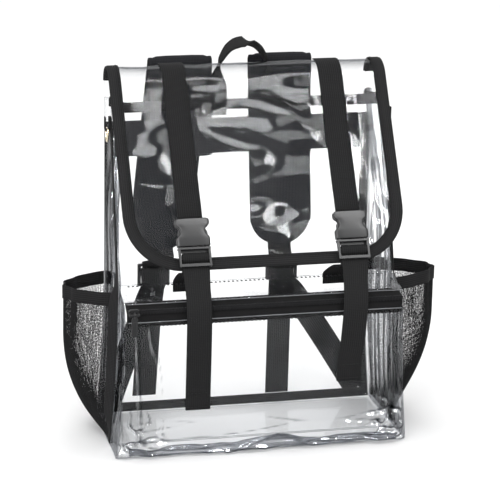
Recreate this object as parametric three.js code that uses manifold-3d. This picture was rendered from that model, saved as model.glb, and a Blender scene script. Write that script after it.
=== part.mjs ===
// A clear PVC backpack standing on its base: main compartment, zipped front pocket, buckled flap,
// net side pockets, grab handle and padded shoulder straps. Millimetres, +Z up, front towards -Y.
import * as THREE from 'three';
import { mergeVertices } from 'three/addons/utils/BufferGeometryUtils.js';
import Module from 'manifold-3d';

const wasm = await Module();
wasm.setup();

// Sheet, tape and webbing thicknesses, and the clearance between pieces that touch
const WALL = 1.0;
const TAPE = 1.2;
const WEBBING = 1.5;
const GAP = 0.3;

// The soft bag leans a little to one side: millimetres of X for each millimetre of height
const LEAN = 0.02;

// Main compartment: the base flares, and the front leans back above the pocket seam
const BODY = {
  half: 140,
  flare: 8,
  flareHeight: 160,
  depth: 100,
  rimDepth: 46,
  seam: 166,
  rim: 338,
  tuck: 12,
  tuckFrom: 200,
};
const SEAM_TAPE = 10;
const RIM_TAPE = 9;

// Front pocket section, outer sheet line in the YZ plane
const POCKET = { depth: 50, topEdge: [-139.5, 157], frontEdge: [-149, 141], bulge: 3 };
const ZIP = {
  upper: [[-131, 156.6], [-138.5, 155.2], [-143.6, 150.9]],
  lower: [[-147, 131], [-146.4, 140], [-144.8, 148.6]],
  coil: [-147.2, 151],
  coilRadius: 2,
  sliderX: -132.5,
};

// Flap section: up the back, over in an arc, then straight down the front at a slant
const FLAP = {
  half: 141,
  corner: 56,
  start: 314,
  bend: 22,
  back: 0.8,
  top: 371,
  slant: 25.9,
  length: 193,
  skew: 0.043,
};
const BINDING = { width: 11, thickness: 0.9 };
const STRAP_WIDTH = 25;
const FLAP_STRAPS = [
  { side: 'left', x: -76, tailX: -69, tailEnd: 51 },
  { side: 'right', x: 84, tailX: 83, tailEnd: 71 },
];

// Net side pockets: how far the wall stands out from the side at each height
const NET = {
  wall: 1.2,
  front: -92,
  rear: -5,
  top: 143,
  bandTop: 157,
  bandWall: 2,
  pleats: 5,
  pleatDepth: 1.6,
};
const NET_SIDES = [
  { side: 'left', sign: -1, reach: 46 },
  { side: 'right', sign: 1, reach: 56 },
];

// Back: yoke band, folded shoulder straps, adjusters and webbing to the rear bottom corners
const YOKE = { low: 275, high: 312, thickness: 1.5 };
const PAD = { width: 66, thickness: 6, end: 169, foldTop: 375, webbingEnd: 158.9 };
const SHOULDERS = [
  { side: 'left', sign: -1, foldX: -60, endX: -76, adjusterX: -86, tailX: -95, tailEnd: 14 },
  { side: 'right', sign: 1, foldX: 45, endX: 51, adjusterX: 51, tailX: 49, tailEnd: 8 },
];
const ADJUSTER = {
  half: 17,
  low: 134,
  high: 158,
  near: 11,
  far: 14.4,
  rail: 3.5,
  bars: [[134, 137], [145, 148], [155, 158]],
};

// Grab handle: one leg from its foot to the middle of the arch
const HANDLE = { centre: 3.5, thickness: 2.6 };
const HANDLE_LEG = [
  { out: 27.5, y: 2.9, z: 314, width: 22, turn: 0 },
  { out: 27.5, y: 2.9, z: 344, width: 22, turn: 0 },
  { out: 27, y: 4.2, z: 353, width: 15, turn: 6 },
  { out: 26, y: 4.4, z: 362, width: 9, turn: 55 },
  { out: 23, y: 3, z: 373, width: 11, turn: 90 },
  { out: 16, y: 3.5, z: 384.5, width: 16, turn: 90 },
  { out: 8, y: 4, z: 390, width: 20, turn: 90 },
  { out: 0, y: 4, z: 391.7, width: 21, turn: 90 },
];

// Ring and its tab at the top of each side
const RING = { halfWidth: 6, drop: 11, wire: 1, y: -49, top: 314 };
const TAB = { width: 9, thickness: 1, high: 326 };

const COLOURS = {
  clear: { color: 0xe9eef2, roughness: 0.08, metalness: 0, transparent: true, opacity: 0.3 },
  webbing: { color: 0x2c2c2e, roughness: 0.85, metalness: 0 },
  tape: { color: 0x222224, roughness: 0.8, metalness: 0 },
  net: { color: 0x1d1d1f, roughness: 0.8, metalness: 0 },
  plastic: { color: 0x2f3033, roughness: 0.35, metalness: 0 },
  brass: { color: 0xc9b48a, roughness: 0.3, metalness: 1 },
};

const bag = new THREE.Group();
bag.matrixAutoUpdate = false;
bag.matrix.makeShear(0, 0, 0, 0, LEAN, 0);

// The flap hangs slightly askew from its top edge
const flapGroup = new THREE.Group();
flapGroup.matrixAutoUpdate = false;
flapGroup.matrix.makeShear(0, 0, 0, 0, -FLAP.skew, 0).setPosition(FLAP.skew * FLAP.top, 0, 0);
bag.add(flapGroup);

function add(name, geometry, colour, parent = bag) {
  const mesh = new THREE.Mesh(geometry, new THREE.MeshStandardMaterial(COLOURS[colour]));
  mesh.name = name;
  parent.add(mesh);
  return mesh;
}

// A closed geometry from shared corners and triangles, turned so that its faces point out
function closed(points, triangles) {
  let volume = 0;
  for (const [a, b, c] of triangles) {
    volume += points[a].dot(new THREE.Vector3().crossVectors(points[b], points[c]));
  }
  const geometry = new THREE.BufferGeometry();
  geometry.setAttribute('position', new THREE.Float32BufferAttribute(points.flatMap((p) => p.toArray()), 3));
  geometry.setIndex(triangles.flatMap(([a, b, c]) => (volume > 0 ? [a, b, c] : [a, c, b])));
  return geometry;
}

// A wall between two surfaces of u and v, each from 0 to 1, with its four edges closed
function wall(outer, inner, columns, rows) {
  const points = [];
  for (const surface of [outer, inner]) {
    for (let row = 0; row <= rows; row += 1) {
      for (let column = 0; column <= columns; column += 1) {
        points.push(new THREE.Vector3(...surface(column / columns, row / rows)));
      }
    }
  }
  const across = columns + 1;
  const layer = across * (rows + 1);
  const triangles = [];
  const quad = (a, b, c, d) => triangles.push([a, b, c], [a, c, d]);
  for (let row = 0; row < rows; row += 1) {
    for (let column = 0; column < columns; column += 1) {
      const a = row * across + column;
      quad(a, a + 1, a + across + 1, a + across);
      quad(layer + a, layer + a + across, layer + a + across + 1, layer + a + 1);
    }
  }
  for (let column = 0; column < columns; column += 1) {
    const top = rows * across + column;
    quad(column + 1, column, layer + column, layer + column + 1);
    quad(top, top + 1, layer + top + 1, layer + top);
  }
  for (let row = 0; row < rows; row += 1) {
    const left = row * across;
    const right = left + columns;
    quad(left, left + across, layer + left + across, layer + left);
    quad(right + across, right, layer + right, layer + right + across);
  }
  return closed(points, triangles);
}

// A flat-sided wall: one surface and the same surface moved along a fixed direction
function sheet(surface, shift, columns, rows) {
  const moved = (u, v) => surface(u, v).map((value, axis) => value + shift[axis]);
  return wall(surface, moved, columns, rows);
}

// A body swept through sections that have the same number of corners
function sweep(sections, outline, looped = false) {
  const size = outline.length;
  const points = sections.flat();
  const triangles = [];
  const steps = looped ? sections.length : sections.length - 1;
  for (let step = 0; step < steps; step += 1) {
    const here = step * size;
    const next = ((step + 1) % sections.length) * size;
    for (let corner = 0; corner < size; corner += 1) {
      const after = (corner + 1) % size;
      triangles.push([here + corner, here + after, next + after]);
      triangles.push([here + corner, next + after, next + corner]);
    }
  }
  if (!looped) {
    const last = (sections.length - 1) * size;
    for (const [a, b, c] of THREE.ShapeUtils.triangulateShape(outline, [])) {
      triangles.push([c, b, a], [last + a, last + b, last + c]);
    }
  }
  return closed(points, triangles);
}

const SQUARE = [[-1, -1], [1, -1], [1, 1], [-1, 1]].map(([x, y]) => new THREE.Vector2(x, y));

// A flat strip through stations, each with a centre, a half-width vector and a half-thickness vector
function strip(stations) {
  const sections = stations.map(({ at, half, thick }) => SQUARE.map((corner) => (
    at.clone().addScaledVector(half, corner.x).addScaledVector(thick, corner.y))));
  return sweep(sections, SQUARE);
}

// A strip whose width runs along X, through rows of x, y, z and, if given, a width and a thickness
function ribbon(rows, thickness) {
  const centres = rows.map(([x, y, z]) => new THREE.Vector3(x, y, z));
  const towards = (from, to) => new THREE.Vector3(0, to.y - from.y, to.z - from.z).normalize();
  const stations = centres.map((at, index) => {
    const [, , , width = STRAP_WIDTH, depth = thickness] = rows[index];
    const last = centres.length - 1;
    const ahead = towards(centres[Math.min(index, last - 1)], centres[Math.min(index + 1, last)]);
    const behind = towards(centres[Math.max(index - 1, 0)], centres[Math.max(index, 1)]);
    const along = ahead.clone().add(behind).normalize();
    const mitre = 1 / Math.max(0.6, along.dot(ahead));
    const thick = new THREE.Vector3(0, -along.z, along.y).multiplyScalar((mitre * depth) / 2);
    return { at, half: new THREE.Vector3(width / 2, 0, 0), thick };
  });
  return strip(stations);
}

const mix = (from, to, share) => from + (to - from) * share;
const ramp = (value, from, to) => Math.min(1, Math.max(0, (value - from) / (to - from)));
const smooth = (share) => share * share * (3 - 2 * share);

function bodyHalf(z) {
  return BODY.half + BODY.flare * Math.max(0, 1 - z / BODY.flareHeight) ** 2;
}

function frontY(z) {
  return -mix(BODY.depth, BODY.rimDepth, ramp(z, BODY.seam, BODY.rim));
}

// Main compartment
const FLOOR_TOP = WALL + GAP;
const BODY_ROWS = 12;
const SEAM_ROW = 6;
const bodyZ = (v) => (v * BODY_ROWS <= SEAM_ROW
  ? mix(FLOOR_TOP, BODY.seam, (v * BODY_ROWS) / SEAM_ROW)
  : mix(BODY.seam, BODY.rim, (v * BODY_ROWS - SEAM_ROW) / (BODY_ROWS - SEAM_ROW)));

// The side gusset folds inwards towards the rim
const tuckAt = (s, z) => BODY.tuck * Math.sin(Math.PI * s) * smooth(ramp(z, BODY.tuckFrom, BODY.rim));
const SIDE_INSET = WALL + GAP;
const sidePoint = (sign, s, z) => [
  sign * (bodyHalf(z) - tuckAt(s, z)),
  mix(frontY(z) + SIDE_INSET, -SIDE_INSET, s),
  z,
];

function bodyPanels() {
  const backSheet = (u, v) => [mix(-1, 1, u) * bodyHalf(bodyZ(v)), 0, bodyZ(v)];
  const frontSheet = (u, v) => [mix(-1, 1, u) * bodyHalf(bodyZ(v)), frontY(bodyZ(v)), bodyZ(v)];
  add('back_panel', sheet(backSheet, [0, -WALL, 0], 2, BODY_ROWS), 'clear');
  add('front_panel', sheet(frontSheet, [0, WALL, 0], 2, BODY_ROWS), 'clear');
  for (const [side, sign] of [['left', -1], ['right', 1]]) {
    const surface = (u, v) => sidePoint(sign, u, bodyZ(v));
    add(`side_panel_${side}`, sheet(surface, [-sign * WALL, 0, 0], 8, BODY_ROWS), 'clear');
  }
  const base = (u, v) => [mix(-1, 1, u) * bodyHalf(0), mix(-BODY.depth, 0, v), 0];
  add('bottom_panel', sheet(base, [0, 0, WALL], 2, 2), 'clear');
}

// Tape folded over a panel's top edge: a channel open downwards, following the edge
function rimChannel(edge, down, across) {
  const inside = WALL / 2 + GAP;
  const outside = inside + TAPE;
  const outline = [
    [-outside, -GAP - TAPE], [outside, -GAP - TAPE], [outside, RIM_TAPE], [inside, RIM_TAPE],
    [inside, -GAP], [-inside, -GAP], [-inside, RIM_TAPE], [-outside, RIM_TAPE],
  ].map(([x, y]) => new THREE.Vector2(x, y));
  const sections = edge.map((at, index) => outline.map((corner) => (
    at.clone().addScaledVector(across, corner.x).addScaledVector(down(index), corner.y))));
  return sweep(sections, outline);
}

function rimTapes() {
  const frontRun = frontY(BODY.seam) - frontY(BODY.rim);
  const frontSlope = new THREE.Vector3(0, frontRun, BODY.seam - BODY.rim).normalize();
  const reach = bodyHalf(BODY.rim) - 3 * WALL;
  const frontEdge = [-reach, reach].map((x) => new THREE.Vector3(x, frontY(BODY.rim) + WALL / 2, BODY.rim));
  add('rim_binding_front', rimChannel(frontEdge, () => frontSlope, new THREE.Vector3(0, 1, 0)), 'tape');
  const steps = 8;
  for (const [side, sign] of [['left', -1], ['right', 1]]) {
    const edge = [];
    const falls = [];
    for (let step = 1; step < steps; step += 1) {
      const top = new THREE.Vector3(...sidePoint(sign, step / steps, BODY.rim));
      const below = new THREE.Vector3(...sidePoint(sign, step / steps, bodyZ(1 - 1 / BODY_ROWS)));
      falls.push(below.sub(top).normalize());
      edge.push(top.add(new THREE.Vector3((-sign * WALL) / 2, 0, 0)));
    }
    add(`rim_binding_${side}`, rimChannel(edge, (index) => falls[index], new THREE.Vector3(1, 0, 0)), 'tape');
  }
}

// Tape down both rear seams and along the rear bottom edge, in one piece
function rearTape() {
  const top = FLAP.start - 2;
  const outer = [];
  const inner = [];
  const steps = 6;
  for (let step = 0; step <= steps; step += 1) {
    const z = mix(top, FLOOR_TOP, step / steps);
    const innerZ = mix(top, FLOOR_TOP + SEAM_TAPE, step / steps);
    outer.push([-bodyHalf(z), z]);
    inner.push([SEAM_TAPE - bodyHalf(innerZ), innerZ]);
  }
  const mirrored = (rows) => [...rows, ...rows.map(([x, z]) => [-x, z]).reverse()];
  const stations = mirrored(outer).map(([x, z], index) => {
    const [innerX, innerZ] = mirrored(inner)[index];
    const at = new THREE.Vector3((x + innerX) / 2, GAP + TAPE / 2, (z + innerZ) / 2);
    const half = new THREE.Vector3((innerX - x) / 2, 0, (innerZ - z) / 2);
    return { at, half, thick: new THREE.Vector3(0, TAPE / 2, 0) };
  });
  add('rear_binding', strip(stations), 'tape');
}

function frontTapes() {
  const ahead = 4;
  const low = 4;
  const high = BODY.rim - RIM_TAPE - 3;
  for (const [side, sign] of [['left', -1], ['right', 1]]) {
    const rows = 12;
    const heightAt = (v) => (v <= 0.5 ? mix(low, BODY.seam, v * 2) : mix(BODY.seam, high, v * 2 - 1));
    const surface = (u, v) => {
      const z = heightAt(v);
      return [sign * (bodyHalf(z) + GAP), frontY(z) - ahead + u * SEAM_TAPE, z];
    };
    add(`front_binding_${side}`, sheet(surface, [sign * TAPE, 0, 0], 1, rows), 'tape');
  }
}

bodyPanels();
rimTapes();
rearTape();
frontTapes();

// Front pocket
function pocketPanels() {
  const frontPlane = -BODY.depth - GAP;
  const [edgeY, edgeZ] = POCKET.frontEdge;
  const bottomY = -BODY.depth - POCKET.depth;
  const front = (u, v) => {
    const z = mix(FLOOR_TOP, edgeZ, v);
    const bulge = POCKET.bulge * Math.sin(Math.PI * u) * Math.sin(Math.PI * v);
    return [mix(-1, 1, u) * bodyHalf(z), mix(bottomY, edgeY, v) - bulge, z];
  };
  add('pocket_front', sheet(front, [0, WALL, 0], 12, 8), 'clear');
  const [topY, topZ] = POCKET.topEdge;
  const lid = (u, v) => {
    const z = mix(BODY.seam, topZ, v);
    return [mix(-1, 1, u) * bodyHalf(z), mix(frontPlane, topY, v), z];
  };
  add('pocket_top', sheet(lid, [0, 0, -WALL], 2, 2), 'clear');
  const base = (u, v) => [mix(-1, 1, u) * bodyHalf(0), mix(bottomY, frontPlane, v), 0];
  add('pocket_bottom', sheet(base, [0, 0, WALL], 2, 2), 'clear');

  // Rows of the side gusset: height, and the reach towards the front there
  const gusset = [
    { z: FLOOR_TOP, y: bottomY + 2 }, { z: 40, y: -148.2 }, { z: 80, y: -147.9 }, { z: 120, y: -147.6 },
    { z: 137, y: -147.4 }, { z: 148, y: -144 }, { z: 154.5, y: -138 }, { z: 163.5, y: -103 },
  ];
  for (const [side, sign] of [['left', -1], ['right', 1]]) {
    const surface = (u, v) => {
      const row = gusset[Math.round(v * (gusset.length - 1))];
      return [sign * bodyHalf(row.z), mix(row.y, frontPlane - GAP, u), row.z];
    };
    add(`pocket_side_${side}`, sheet(surface, [-sign * WALL, 0, 0], 1, gusset.length - 1), 'clear');
  }
}

// Zip: two tapes behind the sheet edges, the closed coil between them, a slider and its puller
const ZIP_HALF = bodyHalf(ZIP.coil[1]) - WALL - 2 * GAP;
const SLIDER = { length: 10, width: 8, height: 3.5, lift: 8.6, post: 1.6, bar: 0.9 };
const PULLER = { eyeHole: 1.5, eyeRim: 2.8, eyeThick: 1.6, width: 6, length: 22, thick: 1.6 };

function toSolid(geometry) {
  const bare = geometry.clone();
  bare.deleteAttribute('normal');
  bare.deleteAttribute('uv');
  const merged = mergeVertices(bare, 1e-4);
  const vertProperties = new Float32Array(merged.attributes.position.array);
  const triVerts = new Uint32Array(merged.index.array);
  return new wasm.Manifold(new wasm.Mesh({ numProp: 3, vertProperties, triVerts }));
}

function toGeometry(solid) {
  const mesh = solid.getMesh();
  const geometry = new THREE.BufferGeometry();
  geometry.setAttribute('position', new THREE.Float32BufferAttribute(Array.from(mesh.vertProperties), 3));
  geometry.setIndex(Array.from(mesh.triVerts));
  return geometry;
}

const block = (from, to) => new THREE.BoxGeometry(to[0] - from[0], to[1] - from[1], to[2] - from[2])
  .translate((from[0] + to[0]) / 2, (from[1] + to[1]) / 2, (from[2] + to[2]) / 2);
const union = (...parts) => parts.map(toSolid).reduce((sum, solid) => sum.add(solid));

function zip() {
  for (const name of ['upper', 'lower']) {
    const rows = ZIP[name].map(([y, z]) => [0, y, z, 2 * ZIP_HALF]);
    add(`zip_tape_${name}`, ribbon(rows, TAPE), 'tape');
  }
  const [y, z] = ZIP.coil;
  const coil = new THREE.CylinderGeometry(ZIP.coilRadius, ZIP.coilRadius, 2 * ZIP_HALF, 8);
  const coilMesh = add('zip_coil', coil, 'tape');
  coilMesh.rotation.z = Math.PI / 2;
  coilMesh.position.set(0, y, z);

  const barY = -SLIDER.lift;
  const half = SLIDER.length / 2;
  const base = block([-half, -SLIDER.height, -SLIDER.width / 2], [half, 0, SLIDER.width / 2]);
  const posts = [-1, 1].map((sign) => block(
    [sign > 0 ? half - SLIDER.post : -half, barY - SLIDER.bar, -SLIDER.bar],
    [sign > 0 ? half : SLIDER.post - half, -SLIDER.height / 2, SLIDER.bar]));
  const bar = new THREE.CylinderGeometry(SLIDER.bar, SLIDER.bar, SLIDER.length - 1, 8).rotateZ(Math.PI / 2)
    .translate(0, barY, 0);
  const sliderGroup = new THREE.Group();
  sliderGroup.position.set(ZIP.sliderX, y - ZIP.coilRadius - GAP, z);
  bag.add(sliderGroup);
  add('zip_slider', toGeometry(union(base, ...posts, bar)), 'plastic', sliderGroup);

  // The puller's eye turns on the slider's bar, and its tab hangs below
  const eye = new THREE.Shape().absarc(0, 0, PULLER.eyeRim, 0, 2 * Math.PI);
  eye.holes.push(new THREE.Path().absarc(0, 0, PULLER.eyeHole, 0, 2 * Math.PI, true));
  const ringOptions = { depth: PULLER.eyeThick, bevelEnabled: false, curveSegments: 8 };
  const ring = new THREE.ExtrudeGeometry(eye, ringOptions)
    .translate(0, 0, -PULLER.eyeThick / 2).rotateY(Math.PI / 2);
  const tabTop = -(PULLER.eyeHole + PULLER.eyeRim) / 2;
  const tab = block(
    [-PULLER.width / 2, -PULLER.thick / 2, -PULLER.length], [PULLER.width / 2, PULLER.thick / 2, tabTop]);
  const puller = add('zip_puller', toGeometry(union(ring, tab)), 'plastic', sliderGroup);
  puller.position.set(0, barY, 0);
}

// Flap: stations down its section, the straight run ending in rounded corners
const BEND_STEPS = 10;
const CORNER_STEPS = 6;
const BEND_SWEEP = 180 - FLAP.slant;
const bendCentre = { y: FLAP.back - FLAP.bend, z: FLAP.top - FLAP.bend };
const slant = THREE.MathUtils.degToRad(FLAP.slant);
const DOWN = { y: -Math.sin(slant), z: -Math.cos(slant) };
const OUT = { y: -Math.cos(slant), z: Math.sin(slant) };
const straightStart = { y: bendCentre.y + FLAP.bend * OUT.y, z: bendCentre.z + FLAP.bend * OUT.z };

// A point of the flap's slanted face: distance down the slant, and height off its middle surface
function onSlant(distance, height) {
  return {
    y: straightStart.y + distance * DOWN.y + height * OUT.y,
    z: straightStart.z + distance * DOWN.z + height * OUT.z,
  };
}

function flapStations() {
  const stations = [{ y: FLAP.back, z: FLAP.start, outY: 1, outZ: 0, half: FLAP.half }];
  for (let step = 0; step <= BEND_STEPS; step += 1) {
    const angle = THREE.MathUtils.degToRad((BEND_SWEEP * step) / BEND_STEPS);
    const outY = Math.cos(angle);
    const outZ = Math.sin(angle);
    stations.push({
      y: bendCentre.y + FLAP.bend * outY,
      z: bendCentre.z + FLAP.bend * outZ,
      outY,
      outZ,
      half: FLAP.half,
      bend: step,
    });
  }
  for (let step = 0; step <= CORNER_STEPS; step += 1) {
    const angle = (Math.PI / 2) * (step / CORNER_STEPS);
    const distance = FLAP.length - FLAP.corner * (1 - Math.sin(angle));
    const half = FLAP.half - FLAP.corner * (1 - Math.cos(angle));
    stations.push({ ...onSlant(distance, 0), outY: OUT.y, outZ: OUT.z, half, corner: angle });
  }
  return stations;
}

function flap() {
  const stations = flapStations();
  const layer = (height) => (u, v) => {
    const station = stations[Math.round(v * (stations.length - 1))];
    return [
      mix(-1, 1, u) * station.half, station.y + height * station.outY, station.z + height * station.outZ,
    ];
  };
  add('flap', wall(layer(WALL / 2), layer(-WALL / 2), 2, stations.length - 1), 'clear', flapGroup);

  // Folded tape round the edge, from above the rim on one side to the same place on the other
  const inside = WALL / 2 + GAP;
  const outside = inside + BINDING.thickness;
  const spine = -GAP - BINDING.thickness;
  const outline = [
    [spine, -outside], [BINDING.width, -outside], [BINDING.width, -inside], [-GAP, -inside],
    [-GAP, inside], [BINDING.width, inside], [BINDING.width, outside], [spine, outside],
  ].map(([x, y]) => new THREE.Vector2(x, y));
  const edge = stations.filter((station) => station.bend > 0 || station.corner !== undefined);
  const sectionAt = (station, sign) => {
    const angle = station.corner ?? 0;
    const inward = new THREE.Vector3(
      -sign * Math.cos(angle), -Math.sin(angle) * DOWN.y, -Math.sin(angle) * DOWN.z);
    const out = new THREE.Vector3(0, station.outY, station.outZ);
    const at = new THREE.Vector3(sign * station.half, station.y, station.z);
    return outline.map(({ x, y }) => at.clone().addScaledVector(inward, x).addScaledVector(out, y));
  };
  const sections = [
    ...edge.map((station) => sectionAt(station, -1)),
    ...edge.map((station) => sectionAt(station, 1)).reverse(),
  ];
  add('flap_binding', sweep(sections, outline), 'tape', flapGroup);
}

pocketPanels();
zip();
flap();

// Flap straps, buckles and the straps below them
const STRAP_LIFT = WALL / 2 + GAP + WEBBING / 2;
const BUCKLE = { down: 144, lift: 3.4, half: 16.5, bar: 17, socket: 28, depth: 9, length: 48, wall: 1.4 };
const LADDER = { rail: 2.2, rows: [[28.4, 33], [37, 40], [45, 48]], middle: [2.6, 5.4], lower: [4.2, 7] };
const FOLDED = { from: 126, to: BUCKLE.down - GAP, thickness: 3.2 };
const HEM = { length: 20, thickness: 2.7 };

// Buckle parts lie in a frame whose -Z runs down the strap and whose -Y points away from the flap
const plate = (outline, from, to, bevel = 0) => new THREE.ExtrudeGeometry(
  new THREE.Shape(outline.map(([x, down]) => new THREE.Vector2(x, -down))),
  { depth: to - from - 2 * bevel, bevelEnabled: bevel > 0, bevelSize: bevel, bevelOffset: -bevel,
    bevelThickness: bevel, bevelSegments: 1 },
).rotateX(Math.PI / 2).translate(0, -from - bevel, 0);
const mirrorOutline = (rows) => [...rows, ...rows.map(([x, down]) => [-x, down]).reverse()];
const slab = (x0, x1, down0, down1, out0, out1) => block([x0, -out1, -down1], [x1, -out0, -down0]);

function socketGeometry() {
  const { half, bar, socket, depth, wall: skin } = BUCKLE;
  const outline = mirrorOutline([
    [bar - 2, 0], [bar, 2], [bar, 6], [half - 3.5, 9.5],
    [half - 4, 13], [half - 2.6, 16], [half, 19], [half, socket],
  ]);
  let solid = toSolid(plate(outline, 0, depth, 0.8));
  for (const sign of [-1, 1]) {
    const inner = sign * (half - 5.2);
    const outer = sign * (half - skin);
    const channel = slab(Math.min(inner, outer), Math.max(inner, outer), 8, socket + 1, 1.8, depth - 1.8);
    solid = solid.subtract(toSolid(channel));
  }
  return toGeometry(solid);
}

function plugGeometry() {
  const { half, depth, length } = BUCKLE;
  const [head, middle, lower] = LADDER.rows;
  const pieces = [plate(mirrorOutline([[half, head[0]], [half - 0.5, head[1]]]), 0.6, depth - 0.6)];
  for (const sign of [-1, 1]) {
    const rail = [sign * (half - 0.5), sign * (half - 0.5 - LADDER.rail)].sort((a, b) => a - b);
    pieces.push(slab(...rail, head[1] - 0.5, length, LADDER.middle[0], LADDER.lower[1]));
    const prong = [sign * (half - 4.8), sign * (half - 1.9)].sort((a, b) => a - b);
    pieces.push(slab(...prong, 10.5, head[0] + 0.5, 2.3, depth - 2.3));
  }
  pieces.push(slab(-half + 2, half - 2, ...middle, ...LADDER.middle));
  pieces.push(slab(-half + 2, half - 2, ...lower, ...LADDER.lower));
  return toGeometry(union(...pieces));
}

function flapStrap({ side, x }) {
  const rows = flapStations().filter((station) => station.bend >= 5).map((station) => [
    x, station.y + STRAP_LIFT * station.outY, station.z + STRAP_LIFT * station.outZ]);
  const foldLift = STRAP_LIFT + (FOLDED.thickness - WEBBING) / 2;
  const runs = [
    { down: FOLDED.from - 1, lift: STRAP_LIFT, depth: WEBBING },
    { down: FOLDED.from, lift: foldLift, depth: FOLDED.thickness },
    { down: FOLDED.to, lift: foldLift, depth: FOLDED.thickness },
  ];
  for (const { down, lift, depth } of runs) {
    const { y, z } = onSlant(down, lift);
    rows.push([x, y, z, STRAP_WIDTH, depth]);
  }
  add(`flap_strap_${side}`, ribbon(rows, WEBBING), 'webbing', flapGroup);
}

// From the pocket seam, up behind the plug, over its middle bar, behind its lower bar, then hanging free
function lowerStrap({ side, x, tailX, tailEnd }) {
  const route = [[56, -12], [52.4, -4], [50.8, -0.6], [46.5, 0.9], [41, 1.1], [37.6, 1.2], [35.2, 2.6],
    [34.9, 4.6], [36.2, 6.5], [38.8, 6.9], [41.6, 6], [43.4, 3.6], [46.5, 2.9], [50, 3.2], [53, 4.2]];
  const seamX = x + FLAP.skew * (FLAP.top - BODY.seam) - 6;
  const topX = x + FLAP.skew * (FLAP.top - 186);
  const rows = [[seamX, -BODY.depth - 2, BODY.seam + 3], [mix(seamX, topX, 0.5), -117, 174]];
  for (const [down, out] of route) {
    const { y, z } = onSlant(BUCKLE.down + down, BUCKLE.lift + out);
    rows.push([topX, y, z]);
  }
  const front = -BODY.depth - POCKET.depth - 6;
  rows.push([mix(topX, tailX, 0.2), -143, 171], [mix(topX, tailX, 0.35), -152.5, 155]);
  rows.push([mix(topX, tailX, 0.5), front, 138], [mix(topX, tailX, 0.8), front - 0.5, 104]);
  const hemTop = tailEnd + HEM.length;
  rows.push([tailX, front, hemTop + 1], [tailX, front, hemTop, STRAP_WIDTH, HEM.thickness]);
  rows.push([tailX, front, tailEnd, STRAP_WIDTH, HEM.thickness]);
  add(`lower_strap_${side}`, ribbon(rows, WEBBING), 'webbing');
}

function buckles() {
  for (const spec of FLAP_STRAPS) {
    flapStrap(spec);
    const group = new THREE.Group();
    const { y, z } = onSlant(BUCKLE.down, BUCKLE.lift);
    group.position.set(spec.x, y, z);
    group.rotation.x = -slant;
    flapGroup.add(group);
    add(`buckle_socket_${spec.side}`, socketGeometry(), 'plastic', group);
    add(`buckle_plug_${spec.side}`, plugGeometry(), 'plastic', group);
    lowerStrap(spec);
  }
}

// Net side pockets: plan curve bulging from the side, fuller near the mouth, closing at the floor
const NET_FLOOR = 5;
const netFullness = (z) => Math.sin((Math.PI / 2) * Math.min(1, ((z - NET_FLOOR) / 105) ** 0.8));
function netPoint({ sign, reach }, s, z, extra) {
  const pleat = NET.pleatDepth * Math.sin(2 * Math.PI * NET.pleats * s) * smooth(ramp(z, 70, NET.top));
  const arch = Math.sin(Math.PI * s) ** 0.75;
  const out = (reach * netFullness(z) + pleat) * arch + extra * (0.35 + 0.65 * arch);
  const y = mix(NET.front - extra, NET.rear + extra, s);
  return [sign * (bodyHalf(z) + 2 * GAP + out), y, z];
}

function netPockets() {
  for (const spec of NET_SIDES) {
    const layer = (extra, from, to) => (u, v) => netPoint(spec, u, mix(from, to, v), extra);
    add(`mesh_pocket_${spec.side}`, wall(
      layer(NET.wall, NET_FLOOR, NET.top), layer(0, NET_FLOOR, NET.top), 30, 9), 'net');
    const bandLow = NET.top + GAP;
    add(`mesh_band_${spec.side}`, wall(
      layer(NET.bandWall, bandLow, NET.bandTop), layer(0, bandLow, NET.bandTop), 30, 1), 'webbing');
  }
}

buckles();
netPockets();

function yoke() {
  const half = bodyHalf(YOKE.high) - SEAM_TAPE - 2 * GAP;
  add('yoke', block([-half, GAP, YOKE.low], [half, GAP + YOKE.thickness, YOKE.high]), 'tape');
}

// Padded strap: sewn to the yoke, up, folded over, then hanging to a rounded end and its webbing
function shoulderStrap({ side, foldX, endX, adjusterX }) {
  const half = PAD.width / 2;
  const near = GAP * 2 + YOKE.thickness + PAD.thickness / 2;
  const far = near + 17;
  const rise = near + 8;
  const foldRadius = (far - rise) / 2;
  const foldZ = PAD.foldTop - foldRadius - PAD.thickness / 2;
  const rows = [[foldX, near, 272, PAD.width], [foldX, near, 300, PAD.width], [foldX, rise, 322, PAD.width]];
  for (let step = 0; step <= 6; step += 1) {
    const angle = (Math.PI * step) / 6;
    const y = (far + rise) / 2 - foldRadius * Math.cos(angle);
    rows.push([foldX, y, foldZ + foldRadius * Math.sin(angle), PAD.width]);
  }
  rows.push([mix(foldX, endX, 0.6), far + 1, 270, PAD.width], [endX, far, PAD.end + half, PAD.width]);
  for (const angle of [30, 50, 67]) {
    const turn = THREE.MathUtils.degToRad(angle);
    rows.push([endX, far, PAD.end + half - half * Math.sin(turn), PAD.width * Math.cos(turn)]);
  }
  const pad = ribbon(rows, PAD.thickness);
  const middle = (ADJUSTER.near + ADJUSTER.far) / 2;
  const webbing = ribbon([
    [endX, far, PAD.end + 12], [endX, far - 1, PAD.end - 4], [adjusterX, middle, PAD.webbingEnd]], WEBBING);
  add(`shoulder_strap_${side}`, toGeometry(union(pad, webbing)), 'webbing');
}

function adjuster({ side, adjusterX }) {
  const { half, low, high, near, far, rail, bars } = ADJUSTER;
  const pieces = [
    block([adjusterX - half, near, low], [adjusterX - half + rail, far, high]),
    block([adjusterX + half - rail, near, low], [adjusterX + half, far, high]),
    ...bars.map(([from, to]) => block([adjusterX - half + 1, near, from], [adjusterX + half - 1, far, to])),
  ];
  add(`adjuster_${side}`, toGeometry(union(...pieces)), 'plastic');
}

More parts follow.
